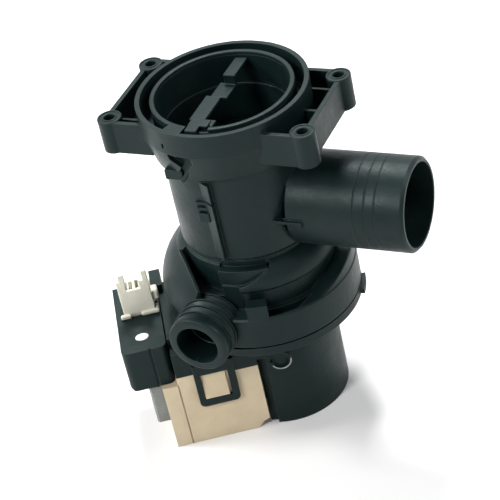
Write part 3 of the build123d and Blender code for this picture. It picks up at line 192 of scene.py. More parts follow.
class Finish:  # one procedural material and the small steps that build it
    def __init__(self, name):
        self.material = bpy.data.materials.new(name)
        self.material.use_nodes = True
        self.tree = self.material.node_tree
        self.tree.nodes.clear()
        out = self.node("ShaderNodeOutputMaterial")
        self.shader = self.node("ShaderNodeBsdfPrincipled")
        self.link(self.shader.outputs[0], out.inputs[0])
        self.place = self.node("ShaderNodeTexCoord").outputs["Object"]

    def node(self, kind, **settings):
        made = self.tree.nodes.new(kind)
        for key, value in settings.items():
            setattr(made, key, value)
        return made

    def link(self, start, end):
        self.tree.links.new(start, end)

    def set(self, **values):
        for key, value in values.items():
            self.shader.inputs[key.replace("_", " ")].default_value = value

    def noise(self, grain, detail=3.0, roughness=0.55, stretch=None):  # grain is its size in metres
        place = self.place
        if stretch:
            turn = self.node("ShaderNodeMapping")
            turn.inputs["Scale"].default_value = stretch
            self.link(place, turn.inputs["Vector"])
            place = turn.outputs[0]
        made = self.node("ShaderNodeTexNoise")
        made.inputs["Scale"].default_value = 1 / grain
        made.inputs["Detail"].default_value = detail
        made.inputs["Roughness"].default_value = roughness
        self.link(place, made.inputs["Vector"])
        return made.outputs["Fac"]

    def spread(self, value, low, high, start=0.3, end=0.7):  # stretches a value over a range
        made = self.node("ShaderNodeMapRange")
        for key, number in (("From Min", start), ("From Max", end), ("To Min", low), ("To Max", high)):
            made.inputs[key].default_value = number
        self.link(value, made.inputs["Value"])
        return made.outputs["Result"]

    def sum(self, kind, a, b):
        made = self.node("ShaderNodeMath", operation=kind)
        for socket, value in zip(made.inputs, (a, b)):
            if isinstance(value, (int, float)):
                socket.default_value = value
            else:
                self.link(value, socket)
        return made.outputs[0]

    def blend(self, share, first, second):  # two colours, each a tuple or a socket
        made = self.node("ShaderNodeMix", data_type="RGBA")
        self.link(share, made.inputs[0])
        for socket, value in ((made.inputs[6], first), (made.inputs[7], second)):
            if isinstance(value, tuple):
                socket.default_value = value + (1,)
            else:
                self.link(value, socket)
        return made.outputs[2]

    def roundedNormal(self, radius, samples=6):
        made = self.node("ShaderNodeBevel", samples=samples)
        made.inputs["Radius"].default_value = radius
        return made.outputs[0]

    def edges(self, radius, start=0.02, end=0.30):  # 1 along the edges of a moulding
        soft = self.roundedNormal(radius)
        flat = self.node("ShaderNodeNewGeometry")
        turn = self.node("ShaderNodeVectorMath", operation="DOT_PRODUCT")
        self.link(soft, turn.inputs[0])
        self.link(flat.outputs["Normal"], turn.inputs[1])
        away = self.sum("SUBTRACT", 1.0, turn.outputs["Value"])
        return self.spread(away, 0.0, 1.0, start, end)

    def bump(self, height, depth, normal=None):  # depth in metres
        made = self.node("ShaderNodeBump")
        made.inputs["Strength"].default_value = 1.0
        made.inputs["Distance"].default_value = depth
        self.link(height, made.inputs["Height"])
        if normal:
            self.link(normal, made.inputs["Normal"])
        return made.outputs[0]


def mouldedPlastic(name, kit):
    look = Finish(name)
    cloud = look.noise(kit["cloudSize"], detail=4.0)
    flow = look.noise(kit["flowSize"], detail=2.0, roughness=0.4, stretch=(1.0, 1.0, 0.25))
    grain = look.noise(kit["grainSize"], detail=2.0, roughness=0.6)
    speck = look.noise(kit["grainSize"] * 3.1, detail=5.0, roughness=0.7)
    # paler edges: a painted highlight where the rounded edges would catch the light
    paintedEdgeSheen = look.sum("MULTIPLY", look.edges(kit["edge"] * 1.3), kit["edgeSheenShare"])
    tone = look.blend(look.spread(cloud, 0.0, 1.0), kit["shade"], kit["colour"])
    tone = look.blend(look.spread(flow, 0.0, kit["flowShare"]), tone, kit["bloom"])
    tone = look.blend(paintedEdgeSheen, tone, kit["edgeSheenTone"])
    look.link(tone, look.shader.inputs["Base Color"])
    rough = look.spread(cloud, kit["rough"][0], kit["rough"][1])
    rough = look.sum("ADD", rough, look.spread(speck, low=-0.04, high=0.05))
    look.link(rough, look.shader.inputs["Roughness"])
    ground = look.bump(grain, kit["grainDepth"], look.roundedNormal(kit["edge"]))
    ground = look.bump(cloud, kit["sinkDepth"], ground)  # slow sink marks
    look.link(ground, look.shader.inputs["Normal"])
    look.set(IOR=kit["ior"], Specular_Tint=kit.get("gloss", (1.0, 1.0, 1.0)) + (1.0,))
    return look.material


finishes = {}
plastics = {  # sizes, depths and edges in metres
    "blackPlastic": {  # glass filled polypropylene
        "colour": (0.0040, 0.0115, 0.0110), "shade": (0.0025, 0.0080, 0.0078),
        "bloom": (0.009, 0.018, 0.017), "edgeSheenTone": (0.032, 0.046, 0.044), "edgeSheenShare": 0.55, "edge": 0.0006,
        "rough": (0.35, 0.48), "cloudSize": 0.019, "flowSize": 0.035, "flowShare": 0.45,
        "grainSize": 0.00045, "grainDepth": 0.000022, "sinkDepth": 0.0006, "ior": 1.28,
        "gloss": (0.82, 0.99, 0.97),  # tint of its reflections
    },
    "paintedHighlightPlastic": {  # the black moulding painted pale as a highlight on a rounded edge
        "colour": (0.30, 0.32, 0.31), "shade": (0.22, 0.24, 0.235), "bloom": (0.36, 0.38, 0.37),
        "edgeSheenTone": (0.45, 0.47, 0.46), "edgeSheenShare": 0.5, "edge": 0.0003, "rough": (0.25, 0.35),
        "cloudSize": 0.006, "flowSize": 0.010, "flowShare": 0.40, "grainSize": 0.0003, "grainDepth": 0.000012,
        "sinkDepth": 0.0001, "ior": 1.50,
    },
    "beigePlastic": {
        "colour": (0.63, 0.52, 0.35), "shade": (0.52, 0.42, 0.27), "bloom": (0.70, 0.60, 0.43),
        "edgeSheenTone": (0.74, 0.66, 0.50), "edgeSheenShare": 0.45, "edge": 0.0005, "rough": (0.48, 0.62),
        "cloudSize": 0.014, "flowSize": 0.022, "flowShare": 0.40, "grainSize": 0.0005, "grainDepth": 0.000025,
        "sinkDepth": 0.0004, "ior": 1.50,
    },
    "creamPlastic": {
        "colour": (0.84, 0.82, 0.69), "shade": (0.74, 0.72, 0.58), "bloom": (0.88, 0.87, 0.77),
        "edgeSheenTone": (0.92, 0.91, 0.85), "edgeSheenShare": 0.45, "edge": 0.0003, "rough": (0.42, 0.55),
        "cloudSize": 0.008, "flowSize": 0.012, "flowShare": 0.35, "grainSize": 0.0004, "grainDepth": 0.000015,
        "sinkDepth": 0.0002, "ior": 1.50,
    },
    "whitePlastic": {
        "colour": (0.72, 0.72, 0.69), "shade": (0.60, 0.60, 0.57), "bloom": (0.80, 0.80, 0.78),
        "edgeSheenTone": (0.85, 0.85, 0.83), "edgeSheenShare": 0.35, "edge": 0.0003, "rough": (0.35, 0.50),
        "cloudSize": 0.008, "flowSize": 0.012, "flowShare": 0.30, "grainSize": 0.0004, "grainDepth": 0.000012,
        "sinkDepth": 0.0002, "ior": 1.50,
    },
}
for finishName, kit in plastics.items():
    finishes[finishName] = mouldedPlastic(finishName, kit)


def rolledSteel(name, kit):
    look = Finish(name)
    cloud = look.noise(kit["cloudSize"], detail=4.0)
    streak = look.noise(kit["streakSize"], detail=3.0, roughness=0.6, stretch=kit["stretch"])
    tone = look.blend(look.spread(cloud, 0.0, 1.0), kit["shade"], kit["colour"])
    tone = look.blend(look.spread(streak, 0.0, kit["streakShare"]), tone, kit["bright"])
    # paler edges: a painted highlight where the edges would catch the light
    paintedEdgeSheen = look.sum("MULTIPLY", look.edges(kit["edge"]), 0.6)
    tone = look.blend(paintedEdgeSheen, tone, kit["bright"])
    look.link(tone, look.shader.inputs["Base Color"])
    look.link(look.spread(streak, kit["rough"][0], kit["rough"][1]), look.shader.inputs["Roughness"])
    ground = look.bump(streak, kit["depth"], look.roundedNormal(kit["edge"]))
    look.link(ground, look.shader.inputs["Normal"])
    look.set(Metallic=kit["metal"])
    return look.material


steels = {
    "laminationSteel": {
        "colour": (0.22, 0.235, 0.225), "shade": (0.14, 0.15, 0.145), "bright": (0.42, 0.44, 0.43),
        "streakShare": 0.35, "metal": 0.55, "edge": 0.00015, "rough": (0.38, 0.58), "cloudSize": 0.006,
        "streakSize": 0.0012, "stretch": (1.0, 1.0, 6.0), "depth": 0.00003,
    },
    "shaftSteel": {
        "colour": (0.55, 0.56, 0.57), "shade": (0.45, 0.46, 0.47), "bright": (0.70, 0.71, 0.72),
        "streakShare": 0.5, "metal": 1.0, "edge": 0.0002, "rough": (0.18, 0.32), "cloudSize": 0.01,
        "streakSize": 0.0006, "stretch": (1.0, 1.0, 14.0), "depth": 0.000006,
    },
    "tinPlatedBrass": {
        "colour": (0.60, 0.60, 0.57), "shade": (0.50, 0.49, 0.45), "bright": (0.75, 0.75, 0.73),
        "streakShare": 0.4, "metal": 1.0, "edge": 0.0002, "rough": (0.22, 0.38), "cloudSize": 0.004,
        "streakSize": 0.0005, "stretch": (1.0, 1.0, 0.1), "depth": 0.000008,
    },
}
for finishName, kit in steels.items():
    finishes[finishName] = rolledSteel(finishName, kit)


def softRubber(name, kit):
    look = Finish(name)
    cloud = look.noise(kit["cloudSize"], detail=3.0)
    grain = look.noise(kit["grainSize"], detail=4.0, roughness=0.7)
    tone = look.blend(look.spread(cloud, 0.0, 1.0), kit["shade"], kit["colour"])
    tone = look.blend(look.spread(grain, 0.0, kit["dust"], start=0.5, end=0.75), tone, kit["dusty"])
    look.link(tone, look.shader.inputs["Base Color"])
    look.link(look.spread(grain, kit["rough"][0], kit["rough"][1]), look.shader.inputs["Roughness"])
    ground = look.bump(grain, kit["depth"], look.roundedNormal(kit["edge"]))
    look.link(ground, look.shader.inputs["Normal"])
    return look.material


rubbers = {
    "sealRubber": {
        "colour": (0.022, 0.022, 0.022), "shade": (0.012, 0.012, 0.013), "dusty": (0.07, 0.07, 0.065),
        "dust": 0.5, "rough": (0.62, 0.80), "cloudSize": 0.006, "grainSize": 0.0006,
        "depth": 0.00003, "edge": 0.0003,
    },
    "pressedFerrite": {
        "colour": (0.065, 0.066, 0.072), "shade": (0.038, 0.039, 0.044), "dusty": (0.13, 0.13, 0.135),
        "dust": 0.6, "rough": (0.50, 0.72), "cloudSize": 0.005, "grainSize": 0.0005,
        "depth": 0.00004, "edge": 0.0004,
    },
    "bearingGraphite": {
        "colour": (0.085, 0.086, 0.092), "shade": (0.055, 0.056, 0.06), "dusty": (0.15, 0.15, 0.155),
        "dust": 0.4, "rough": (0.34, 0.48), "cloudSize": 0.003, "grainSize": 0.0004,
        "depth": 0.00001, "edge": 0.0002,
    },
}
for finishName, kit in rubbers.items():
    finishes[finishName] = softRubber(finishName, kit)


def woundCopper(name, kit):  # turns lie across the motor's own x axis
    look = Finish(name)
    turn = look.node("ShaderNodeMapping")
    turn.inputs["Rotation"].default_value = (0, 0, -motorTurn)
    look.link(look.place, turn.inputs["Vector"])
    wires = look.node("ShaderNodeTexWave", wave_type="BANDS", bands_direction="X", wave_profile="SIN")
    wires.inputs["Scale"].default_value = math.tau / (40 * kit["wire"])  # a wave is two wires wide
    wires.inputs["Distortion"].default_value = kit["wander"]
    wires.inputs["Detail"].default_value = 1.0
    look.link(turn.outputs[0], wires.inputs["Vector"])
    cloud = look.noise(kit["cloudSize"], detail=4.0)
    tone = look.blend(look.spread(cloud, 0.0, 1.0), kit["shade"], kit["colour"])
    # darker between the turns: painted shade in the grooves between the wires
    tone = look.blend(look.spread(wires.outputs["Fac"], 0.0, 0.7, start=0.0, end=0.8), kit["paintedGapShade"], tone)
    look.link(tone, look.shader.inputs["Base Color"])
    look.link(look.spread(cloud, kit["rough"][0], kit["rough"][1]), look.shader.inputs["Roughness"])
    look.link(look.bump(wires.outputs["Fac"], kit["wire"] * 0.4), look.shader.inputs["Normal"])
    look.set(Metallic=kit["metal"], Coat_Weight=kit["enamel"], Coat_Roughness=kit["enamelRough"])
    return look.material


finishes["copperWire"] = woundCopper("copperWire", {
    "colour": (0.55, 0.24, 0.09), "shade": (0.40, 0.15, 0.05), "paintedGapShade": (0.10, 0.035, 0.012),
    "wire": 0.00016, "wander": 0.6, "cloudSize": 0.007, "rough": (0.28, 0.42), "metal": 0.85,
    "enamel": 0.5, "enamelRough": 0.2,
})
print("stage: finishes,", len(finishes))

# finish of each CAD node, named as the record's slots are
slotFinish = {
    "black_plastic": "blackPlastic", "beige_plastic": "beigePlastic", "cream_plastic": "creamPlastic",
    "white_plastic": "whitePlastic", "lamination_steel": "laminationSteel", "shaft_steel": "shaftSteel",
    "copper_wire": "copperWire", "rubber": "sealRubber", "ferrite": "pressedFerrite",
    "bearing_graphite": "bearingGraphite", "tin_plated_brass": "tinPlatedBrass",
}
nodeSlot = {
    "black_plastic": ["pump_housing", "filter_guide_bar", "motor_carrier", "bearing_cap", "impeller",
                      "terminal_box"],
    "beige_plastic": ["coil_case", "coil_end_cap"],
    "cream_plastic": ["connector_header"],
    "white_plastic": ["front_thrust_washer", "rear_thrust_washer", "rotor_core", "impeller_driver",
                      "hub_cover", "bobbin_front", "bobbin_rear", "thermal_fuse"],
    "lamination_steel": ["stator_core", "stator_yoke"],
    "shaft_steel": ["rotor_shaft"],
    "copper_wire": ["winding_front", "winding_rear"],
    "rubber": ["joint_seal", "shaft_seal", "front_bearing_ring", "rear_bearing_ring"],
    "ferrite": ["rotor_magnet"],
    "bearing_graphite": ["front_bearing", "rear_bearing"],
    "tin_plated_brass": ["terminal_tabs"],
}
for slotName, names in nodeSlot.items():
    for name in names:
        mesh = nodes[name].data
        mesh.materials.clear()
        mesh.materials.append(finishes[slotFinish[slotName]])
print("stage: CAD nodes finished")


def addPiece(name, mesh, body, slotName, *replaced):  # dressed in the slot's finish if it has none
    piece = bpy.data.objects.new(name, mesh)
    bpy.context.scene.collection.objects.link(piece)
    if not mesh.materials:
        mesh.materials.append(finishes[slotFinish[slotName]])
    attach(piece, body)
    if replaced:
        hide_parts(*replaced)


def nodeGroup(name, sizes):  # an empty Geometry Nodes tree with named size inputs
    tree = bpy.data.node_groups.new(name, "GeometryNodeTree")
    tree.interface.new_socket("Geometry", in_out="INPUT", socket_type="NodeSocketGeometry")
    tree.interface.new_socket("Geometry", in_out="OUTPUT", socket_type="NodeSocketGeometry")
    for label, value in sizes.items():
        kind = "NodeSocketInt" if isinstance(value, int) else "NodeSocketFloat"
        socket = tree.interface.new_socket(label, in_out="INPUT", socket_type=kind)
        socket.default_value = value
    return tree, tree.nodes.new("NodeGroupInput"), tree.nodes.new("NodeGroupOutput")


def plainMesh(name, tree, sizes, startMesh):  # runs the tree once and keeps only its mesh
    holder = bpy.data.objects.new(name + "Maker", startMesh)
    bpy.context.scene.collection.objects.link(holder)
    modifier = holder.modifiers.new("maker", "NODES")
    modifier.node_group = tree
    for item in tree.interface.items_tree:
        if item.item_type == "SOCKET" and item.in_out == "INPUT" and item.name in sizes:
            modifier[item.identifier] = sizes[item.name]
    graph = bpy.context.evaluated_depsgraph_get()
    made = holder.evaluated_get(graph)
    mesh = bpy.data.meshes.new_from_object(made, preserve_all_data_layers=True, depsgraph=graph)
    mesh.name = name
    holder.modifiers.remove(modifier)
    bpy.data.objects.remove(holder)
    return mesh


def meshFrom(name, made):  # turns a working mesh into a finished one
    bmesh.ops.recalc_face_normals(made, faces=made.faces)
    mesh = bpy.data.meshes.new(name)
    made.to_mesh(mesh)
    made.free()
    return mesh


# stack of the yoke, sheet on sheet, in millimetres along the motor's axes
yokeStack = {
    "left": -60.6, "wall": 5.3, "halfWidth": 18.6, "bottom": -145.3, "height": 20.0,
    "sheets": 40, "sheetGap": 0.045, "sheetJitter": 0.09, "corner": 0.9, "seed": 5,
}


def yokePlate(kit):  # outline of one sheet in the motor's axes, set on the floor of the stack
    left, right, half = kit["left"], kit["left"] + kit["wall"], kit["halfWidth"]
    corner = kit["corner"]
    outline = [(left + corner, -half), (right, -half), (right, half), (left + corner, half)]
    outline += [(left, half - corner), (left, corner - half)]
    thick = kit["height"] / kit["sheets"] - kit["sheetGap"]
    made = bmesh.new()
    face = made.faces.new([made.verts.new(motorSpot(x, y, 0)) for x, y in outline])
    raised = bmesh.ops.extrude_face_region(made, geom=[face])["geom"]
    upper = [vert for vert in raised if isinstance(vert, bmesh.types.BMVert)]
    bmesh.ops.translate(made, verts=upper, vec=(0, 0, thick * mm))
    return meshFrom("yokePlate", made)


def makeYoke(kit):
    sizes = {
        "Sheets": kit["sheets"], "Pitch": kit["height"] / kit["sheets"] * mm,
        "Jitter": kit["sheetJitter"] * mm, "Floor": kit["bottom"] * mm,
    }
    tree, start, end = nodeGroup("sheetStack", sizes)
    add, join = tree.nodes.new, tree.links.new
    line = add("GeometryNodeMeshLine")
    step = add("ShaderNodeCombineXYZ")
    origin = add("ShaderNodeCombineXYZ")
    join(start.outputs["Pitch"], step.inputs["Z"])
    join(start.outputs["Floor"], origin.inputs["Z"])
    join(start.outputs["Sheets"], line.inputs["Count"])
    join(origin.outputs[0], line.inputs["Start Location"])
    join(step.outputs[0], line.inputs["Offset"])
    shake = add("FunctionNodeRandomValue")
    shake.data_type = "FLOAT_VECTOR"
    shake.inputs["Seed"].default_value = kit["seed"]
    for side, socket in ((-0.5, shake.inputs[0]), (0.5, shake.inputs[1])):  # half the jitter each way
        limit = add("ShaderNodeVectorMath")
        limit.operation = "SCALE"
        limit.inputs[0].default_value = (side, side, 0)
        join(start.outputs["Jitter"], limit.inputs["Scale"])
        join(limit.outputs[0], socket)
    move = add("GeometryNodeSetPosition")
    join(line.outputs[0], move.inputs["Geometry"])
    join(shake.outputs[0], move.inputs["Offset"])
    spread = add("GeometryNodeInstanceOnPoints")
    join(move.outputs[0], spread.inputs["Points"])
    join(start.outputs["Geometry"], spread.inputs["Instance"])
    real = add("GeometryNodeRealizeInstances")
    paint = add("GeometryNodeSetMaterial")
    paint.inputs["Material"].default_value = finishes["laminationSteel"]
    join(spread.outputs[0], real.inputs[0])
    join(real.outputs[0], paint.inputs[0])
    join(paint.outputs[0], end.inputs[0])
    mesh = plainMesh("yokeSheets", tree, sizes, yokePlate(kit))
    addPiece("yoke_sheets", mesh, "pump", "lamination_steel", "stator_yoke")


makeYoke(yokeStack)
print("stage: yoke")

# small oval dot moulded proud on the terminal box
boxDot = {
    "x": -57.5, "y": -14.5, "z": -99.6, "length": 6.2, "width": 5.2, "height": 0.22,
    "rings": 5, "around": 40,
}


def makeDot(kit):
    made = bmesh.new()
    rows = []
    for i in range(kit["rings"]):
        share = i / kit["rings"]
        z = kit["z"] + kit["height"] * math.sqrt(share)
        reach = math.sqrt(1 - share)
        row = []
        for k in range(kit["around"]):
            a = math.tau * k / kit["around"]
            x = kit["x"] + kit["length"] / 2 * reach * math.cos(a)
            y = kit["y"] + kit["width"] / 2 * reach * math.sin(a)
            row.append(made.verts.new(motorSpot(x, y, z)))
        rows.append(row)
    top = made.verts.new(motorSpot(kit["x"], kit["y"], kit["z"] + kit["height"]))
    for low, high in zip(rows, rows[1:]):
        for k in range(kit["around"]):
            n = (k + 1) % kit["around"]
            made.faces.new((low[k], low[n], high[n], high[k]))
    for k in range(kit["around"]):
        made.faces.new((rows[-1][k], rows[-1][(k + 1) % kit["around"]], top))
    made.faces.new(list(reversed(rows[0])))
    mesh = meshFrom("boxDot", made)
    mesh.shade_smooth()
    addPiece("box_dot", mesh, "pump", "white_plastic")


makeDot(boxDot)
print("stage: dot")


def pumpSpot(x, y, z):  # the pump's own axes, in millimetres
    return Vector((x * mm, y * mm, z * mm))


# rounded blocks in one mesh, each given by its left, right, front, back, bottom and top
def blockMesh(name, blocks, spot, rounding, segments=3):
    made = bmesh.new()
    for left, right, front, back, bottom, top in blocks:
        corners = ((left, front), (right, front), (right, back), (left, back))
        low = [made.verts.new(spot(x, y, bottom)) for x, y in corners]
        high = [made.verts.new(spot(x, y, top)) for x, y in corners]
        faces = [made.faces.new(list(reversed(low))), made.faces.new(high)]
        for i in range(4):
            k = (i + 1) % 4
            faces.append(made.faces.new((low[i], low[k], high[k], high[i])))
        edges = list({edge for face in faces for edge in face.edges})
        thinnest = min(right - left, back - front, top - bottom)
        bevel = min(rounding, thinnest * 0.4) * mm  # a thin block keeps its middle
        bmesh.ops.bevel(made, geom=edges, offset=bevel, segments=segments, profile=0.5, affect="EDGES")
    return meshFrom(name, made)


# an outline of radius and place along the axis, turned round it by a sweep in degrees
def turnedMesh(name, outline, spot, start=0.0, sweep=360.0, around=128):
    made = bmesh.new()
    whole = sweep >= 360
    count = around if whole else around + 1
    rows = []
    for k in range(count):
        a = math.radians(start + sweep * k / around)
        x, y = math.cos(a), math.sin(a)
        rows.append([made.verts.new(spot(r * x, r * y, along)) for r, along in outline])
    for k in range(around):
        row, following = rows[k], rows[(k + 1) % count]
        for i in range(len(outline)):
            n = (i + 1) % len(outline)
            made.faces.new((row[i], row[n], following[n], following[i]))
    if not whole:
        made.faces.new(rows[0])
        made.faces.new(list(reversed(rows[-1])))
    mesh = meshFrom(name, made)
    mesh.shade_smooth()
    mesh.set_sharp_from_angle(angle=sharpFrom)
    return mesh


# rim on the sealing ring of the mouth, open where the guide bar clips over it
mouthRim = {
    "inner": 28.21, "outer": 30.19, "foot": 2.3, "top": 4.0, "round": 0.35,
    "start": -77.5, "sweep": 340.0,
    "bridgeInner": 30.0, "bridgeOuter": 34.3, "bridgeBottom": -2.0, "bridgeTop": 3.95,
    "bridgeStart": -112.0, "bridgeSweep": 14.5, "bridgeAround": 16,
}


def makeMouthRim(kit):
    inner, outer, foot, top, soft = (kit[k] for k in ("inner", "outer", "foot", "top", "round"))
    cut = soft * 0.3  # the middle of the rounding
    outline = [(inner, foot), (inner, top - soft), (inner + cut, top - cut), (inner + soft, top)]
    outline += [(outer - soft, top), (outer - cut, top - cut), (outer, top - soft), (outer, foot)]
    mesh = turnedMesh("mouthRim", outline, pumpSpot, kit["start"], kit["sweep"])
    addPiece("mouth_rim", mesh, "pump", "black_plastic")
    low, high = kit["bridgeBottom"], kit["bridgeTop"]
    near, far = kit["bridgeInner"], kit["bridgeOuter"]
    outline = [(near, low), (near, high), (far, high), (far, low)]
    mesh = turnedMesh("rimBridge", outline, pumpSpot, kit["bridgeStart"], kit["bridgeSweep"],
                      kit["bridgeAround"])
    addPiece("rim_bridge", mesh, "pump", "black_plastic")


makeMouthRim(mouthRim)

# seat of the filter insert, a low step inside the chamber
filterSeat = {
    "wall": 28.17, "inner": 27.2, "top": -10.9, "straightEnd": -24.0, "end": -29.0, "round": 0.25,
    "lastStep": 0.03,
}


def makeFilterSeat(kit):
    wall, inner, top, soft = (kit[k] for k in ("wall", "inner", "top", "round"))
    outline = [
        (wall, top), (inner + soft, top), (inner, top - soft),
        (inner, kit["straightEnd"]), (wall - kit["lastStep"], kit["end"]), (wall, kit["end"]),
    ]
    addPiece("filter_seat", turnedMesh("filterSeat", outline, pumpSpot), "pump", "black_plastic")


makeFilterSeat(filterSeat)

# guide bar across the mouth, with the clip at its front end
guideBar = {
    "rounding": 0.35,
    "blocks": [
        (-5.8, -0.4, 13.4, 27.4, 0.0, 1.5),        # back
        (-5.75, -0.45, 13.45, 14.9, -4.45, 1.2),   # step down
        (-8.2, -0.6, 3.6, 14.5, -4.5, -3.0),       # middle
        (-10.4, -3.4, -13.5, 4.4, -4.55, -3.05),   # front
        (-4.0, 1.5, -27.3, -12.5, -4.5, -3.1),     # link to the clip
        (-3.4, 4.6, -27.2, -23.4, -4.4, 4.0),      # clip
        (-3.0, 5.6, -27.9, -23.0, 3.6, 4.4),
        (-2.8, 2.3, -31.4, -27.5, 3.6, 4.38),
        (-2.75, 2.25, -31.8, -30.4, -2.0, 4.3),    # leg in the groove
    ],
}
mesh = blockMesh("guideBar", guideBar["blocks"], pumpSpot, guideBar["rounding"])
addPiece("guide_bar", mesh, "pump", "black_plastic", "filter_guide_bar")
print("stage: mouth")

# outlet spigot: thick lip, nub in the mouth and the edges of the barbs
spigot = {
    "x": -8.1, "z": -90.0,
    "lip": [(10.45, -53.57), (12.2, -53.57), (12.95, -53.2), (13.35, -52.4), (13.4, -51.2), (13.05, -48.2),
            (12.0, -48.2), (10.45, -52.2)],
    "barbs": (-47.2, -43.2, -39.2, -35.2), "barbRoot": 12.1, "barbRadius": 13.65,
    "barbFront": 0.35, "barbBack": 0.5, "barbShoulder": 0.25, "barbSlope": 0.1,
    "nub": (-11.3, -9.7, -53.5, -50.5, -100.3, -98.9), "nubRound": 0.4,
}


def spigotSpot(across, up, along):
    return Vector(((spigot["x"] + across) * mm, along * mm, (spigot["z"] + up) * mm))


def makeSpigotEdges(kit):
    addPiece("outlet_lip", turnedMesh("outletLip", kit["lip"], spigotSpot), "pump", "black_plastic")
    nub = blockMesh("outletNub", [kit["nub"]], pumpSpot, kit["nubRound"])
    addPiece("outlet_nub", nub, "pump", "black_plastic")
    root, far = kit["barbRoot"], kit["barbRadius"]
    shoulder, slope = far - kit["barbShoulder"], kit["barbSlope"]
    for i, place in enumerate(kit["barbs"]):
        front, back = place - kit["barbFront"], place + kit["barbBack"]
        crest = (front + back) / 2
        outline = [
            (root, front), (shoulder, front + slope), (far, crest - slope),
            (far, crest + slope), (shoulder, back - slope), (root, back),
        ]
        barb = turnedMesh("outletBarb", outline, spigotSpot)
        addPiece("outlet_barb_%d" % i, barb, "pump", "black_plastic")


makeSpigotEdges(spigot)
print("stage: spigot")

# plug header on the terminal box, low at its back
header = {
    "base": -99.6, "rounding": 0.3, "lipRounding": 0.7,
    "walls": [
        (-63.6, -49.6, 1.0, 13.0, 0.0, 2.0),       # floor
        (-63.6, -49.6, 1.0, 2.4, 0.2, 14.1),       # front, below the notch
        (-63.55, -59.9, 1.05, 2.45, 12.0, 19.6),
        (-62.2, -59.5, 0.95, 2.35, 17.0, 23.1),    # left arm
        (-53.9, -49.65, 1.05, 2.45, 12.0, 18.2),
        (-52.0, -49.55, 0.95, 2.35, 16.0, 23.1),   # right arm
        (-63.5, -62.4, 1.2, 4.4, 0.2, 19.4),       # sides
        (-50.8, -49.7, 1.2, 4.4, 0.2, 19.4),
        (-63.55, -62.35, 3.8, 12.8, 0.2, 11.4),
        (-50.85, -49.65, 3.8, 12.8, 0.2, 11.4),
        (-63.4, -49.8, 11.8, 12.95, 0.2, 11.35),   # back
        (-57.2, -56.0, 2.0, 12.0, 1.5, 12.6),      # wall between the tabs
        (-61.2, -60.2, 2.2, 4.6, 1.5, 16.0),
    ],
    "lips": [
        (-65.2, -60.5, -0.3, 1.6, 0.0, 2.1),
        (-56.0, -47.9, -0.3, 1.6, 0.0, 2.1),
        (-50.2, -47.95, -0.25, 4.6, 0.05, 2.05),
        (-50.2, -46.9, 2.2, 7.2, 5.6, 10.4),       # hook
        (-50.2, -48.2, 8.0, 12.6, 0.0, 2.1),
    ],
}


def headerSpot(x, y, z):
    return motorSpot(x, y, header["base"] + z)


mesh = blockMesh("plugHeader", header["walls"], headerSpot, header["rounding"])
addPiece("plug_header", mesh, "pump", "cream_plastic", "connector_header")
mesh = blockMesh("headerLips", header["lips"], headerSpot, header["lipRounding"])
addPiece("header_lips", mesh, "pump", "cream_plastic")
print("stage: header")

# raised rings on the four lugs, round the hole and along the edge
lugRings = {
    "acrossX": 86.0, "acrossY": 41.0, "around": 64,
    "outlines": [
        [(2.42, -1.2), (2.42, 0.22), (2.6, 0.34), (3.0, 0.34), (3.15, 0.22), (3.15, -1.2)],
        [(4.3, -0.4), (4.3, 0.22), (4.45, 0.34), (4.95, 0.34), (5.12, 0.22), (5.12, -0.4)],
    ],
}


def shiftedSpot(moveX, moveY):  # the pump's axes, moved to one lug
    return lambda x, y, z: pumpSpot(moveX + x, moveY + y, z)


def makeLugRings(kit):
    halfX, halfY = kit["acrossX"] / 2, kit["acrossY"] / 2
    lugs = ((-halfX, -halfY), (halfX, -halfY), (halfX, halfY), (-halfX, halfY))
    for k, outline in enumerate(kit["outlines"]):
        for i, lug in enumerate(lugs):
            mesh = turnedMesh("lugRing", outline, shiftedSpot(*lug), around=kit["around"])
            addPiece("lug_ring_%d_%d" % (i, k), mesh, "pump", "black_plastic")


makeLugRings(lugRings)
print("stage: lugs")

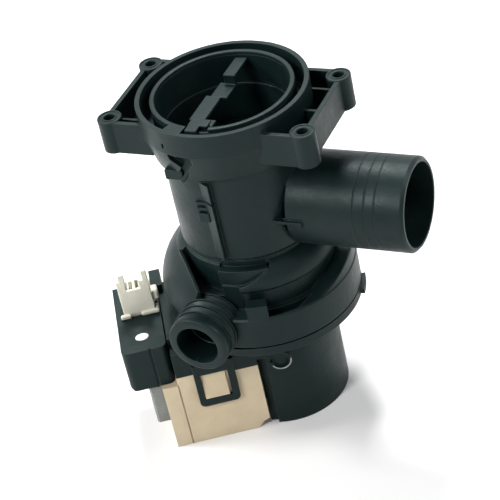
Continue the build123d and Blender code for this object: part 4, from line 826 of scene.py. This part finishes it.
# lip and slanted wall of the hook pocket under the mouth
hookPocket = {
    "rounding": 0.35, "lip": (-16.2, -8.0, -32.3, -26.5, -20.2, -15.6),
    "wall": (-9.4, -7.4, -33.6, -29.0, -20.3, -7.6), "lean": 0.70,
}


def leaningSpot(x, y, z):  # the wall leans to the right as it goes up from its bottom
    bottom = hookPocket["wall"][4]
    return pumpSpot(x + (z - bottom) * hookPocket["lean"], y, z)


mesh = blockMesh("hookLip", [hookPocket["lip"]], pumpSpot, hookPocket["rounding"])
addPiece("hook_lip", mesh, "pump", "black_plastic")
mesh = blockMesh("hookWall", [hookPocket["wall"]], leaningSpot, hookPocket["rounding"])
addPiece("hook_wall", mesh, "pump", "black_plastic")
print("stage: hook")

# cross bars and stop at the head of the catch on the neck
neckCatch = {
    "rounding": 0.2,
    "blocks": [
        (-6.4, -1.0, -30.9, -29.4, -33.0, -31.9),
        (-6.2, -1.0, -31.2, -29.4, -35.7, -34.4),
        (-5.8, -1.0, -31.6, -29.4, -41.2, -36.9),
    ],
}
mesh = blockMesh("neckCatch", neckCatch["blocks"], pumpSpot, neckCatch["rounding"])
addPiece("neck_catch", mesh, "pump", "black_plastic")
print("stage: catch")

# raised edge of the round mark on the shroud, pale with a painted highlight
shroudMark = {
    "angle": -62.0, "z": -118.5, "start": 205.0, "sweep": 165.0, "around": 48,
    "outline": [(3.9, 28.2), (3.9, 28.95), (4.15, 29.25), (4.5, 29.25), (4.75, 28.95), (4.75, 28.2)],
}


def markSpot(across, up, out):  # as seen from straight in front of the mark
    turn = math.radians(shroudMark["angle"])
    x = out * math.cos(turn) - across * math.sin(turn)
    y = out * math.sin(turn) + across * math.cos(turn)
    return pumpSpot(x, y, shroudMark["z"] + up)


mesh = turnedMesh("markEdge", shroudMark["outline"], markSpot, shroudMark["start"],
                  shroudMark["sweep"], shroudMark["around"])
# its pale finish is a painted highlight, not a colour of the moulding
mesh.materials.append(finishes["paintedHighlightPlastic"])
addPiece("mark_edge", mesh, "pump", "black_plastic")
print("stage: mark")
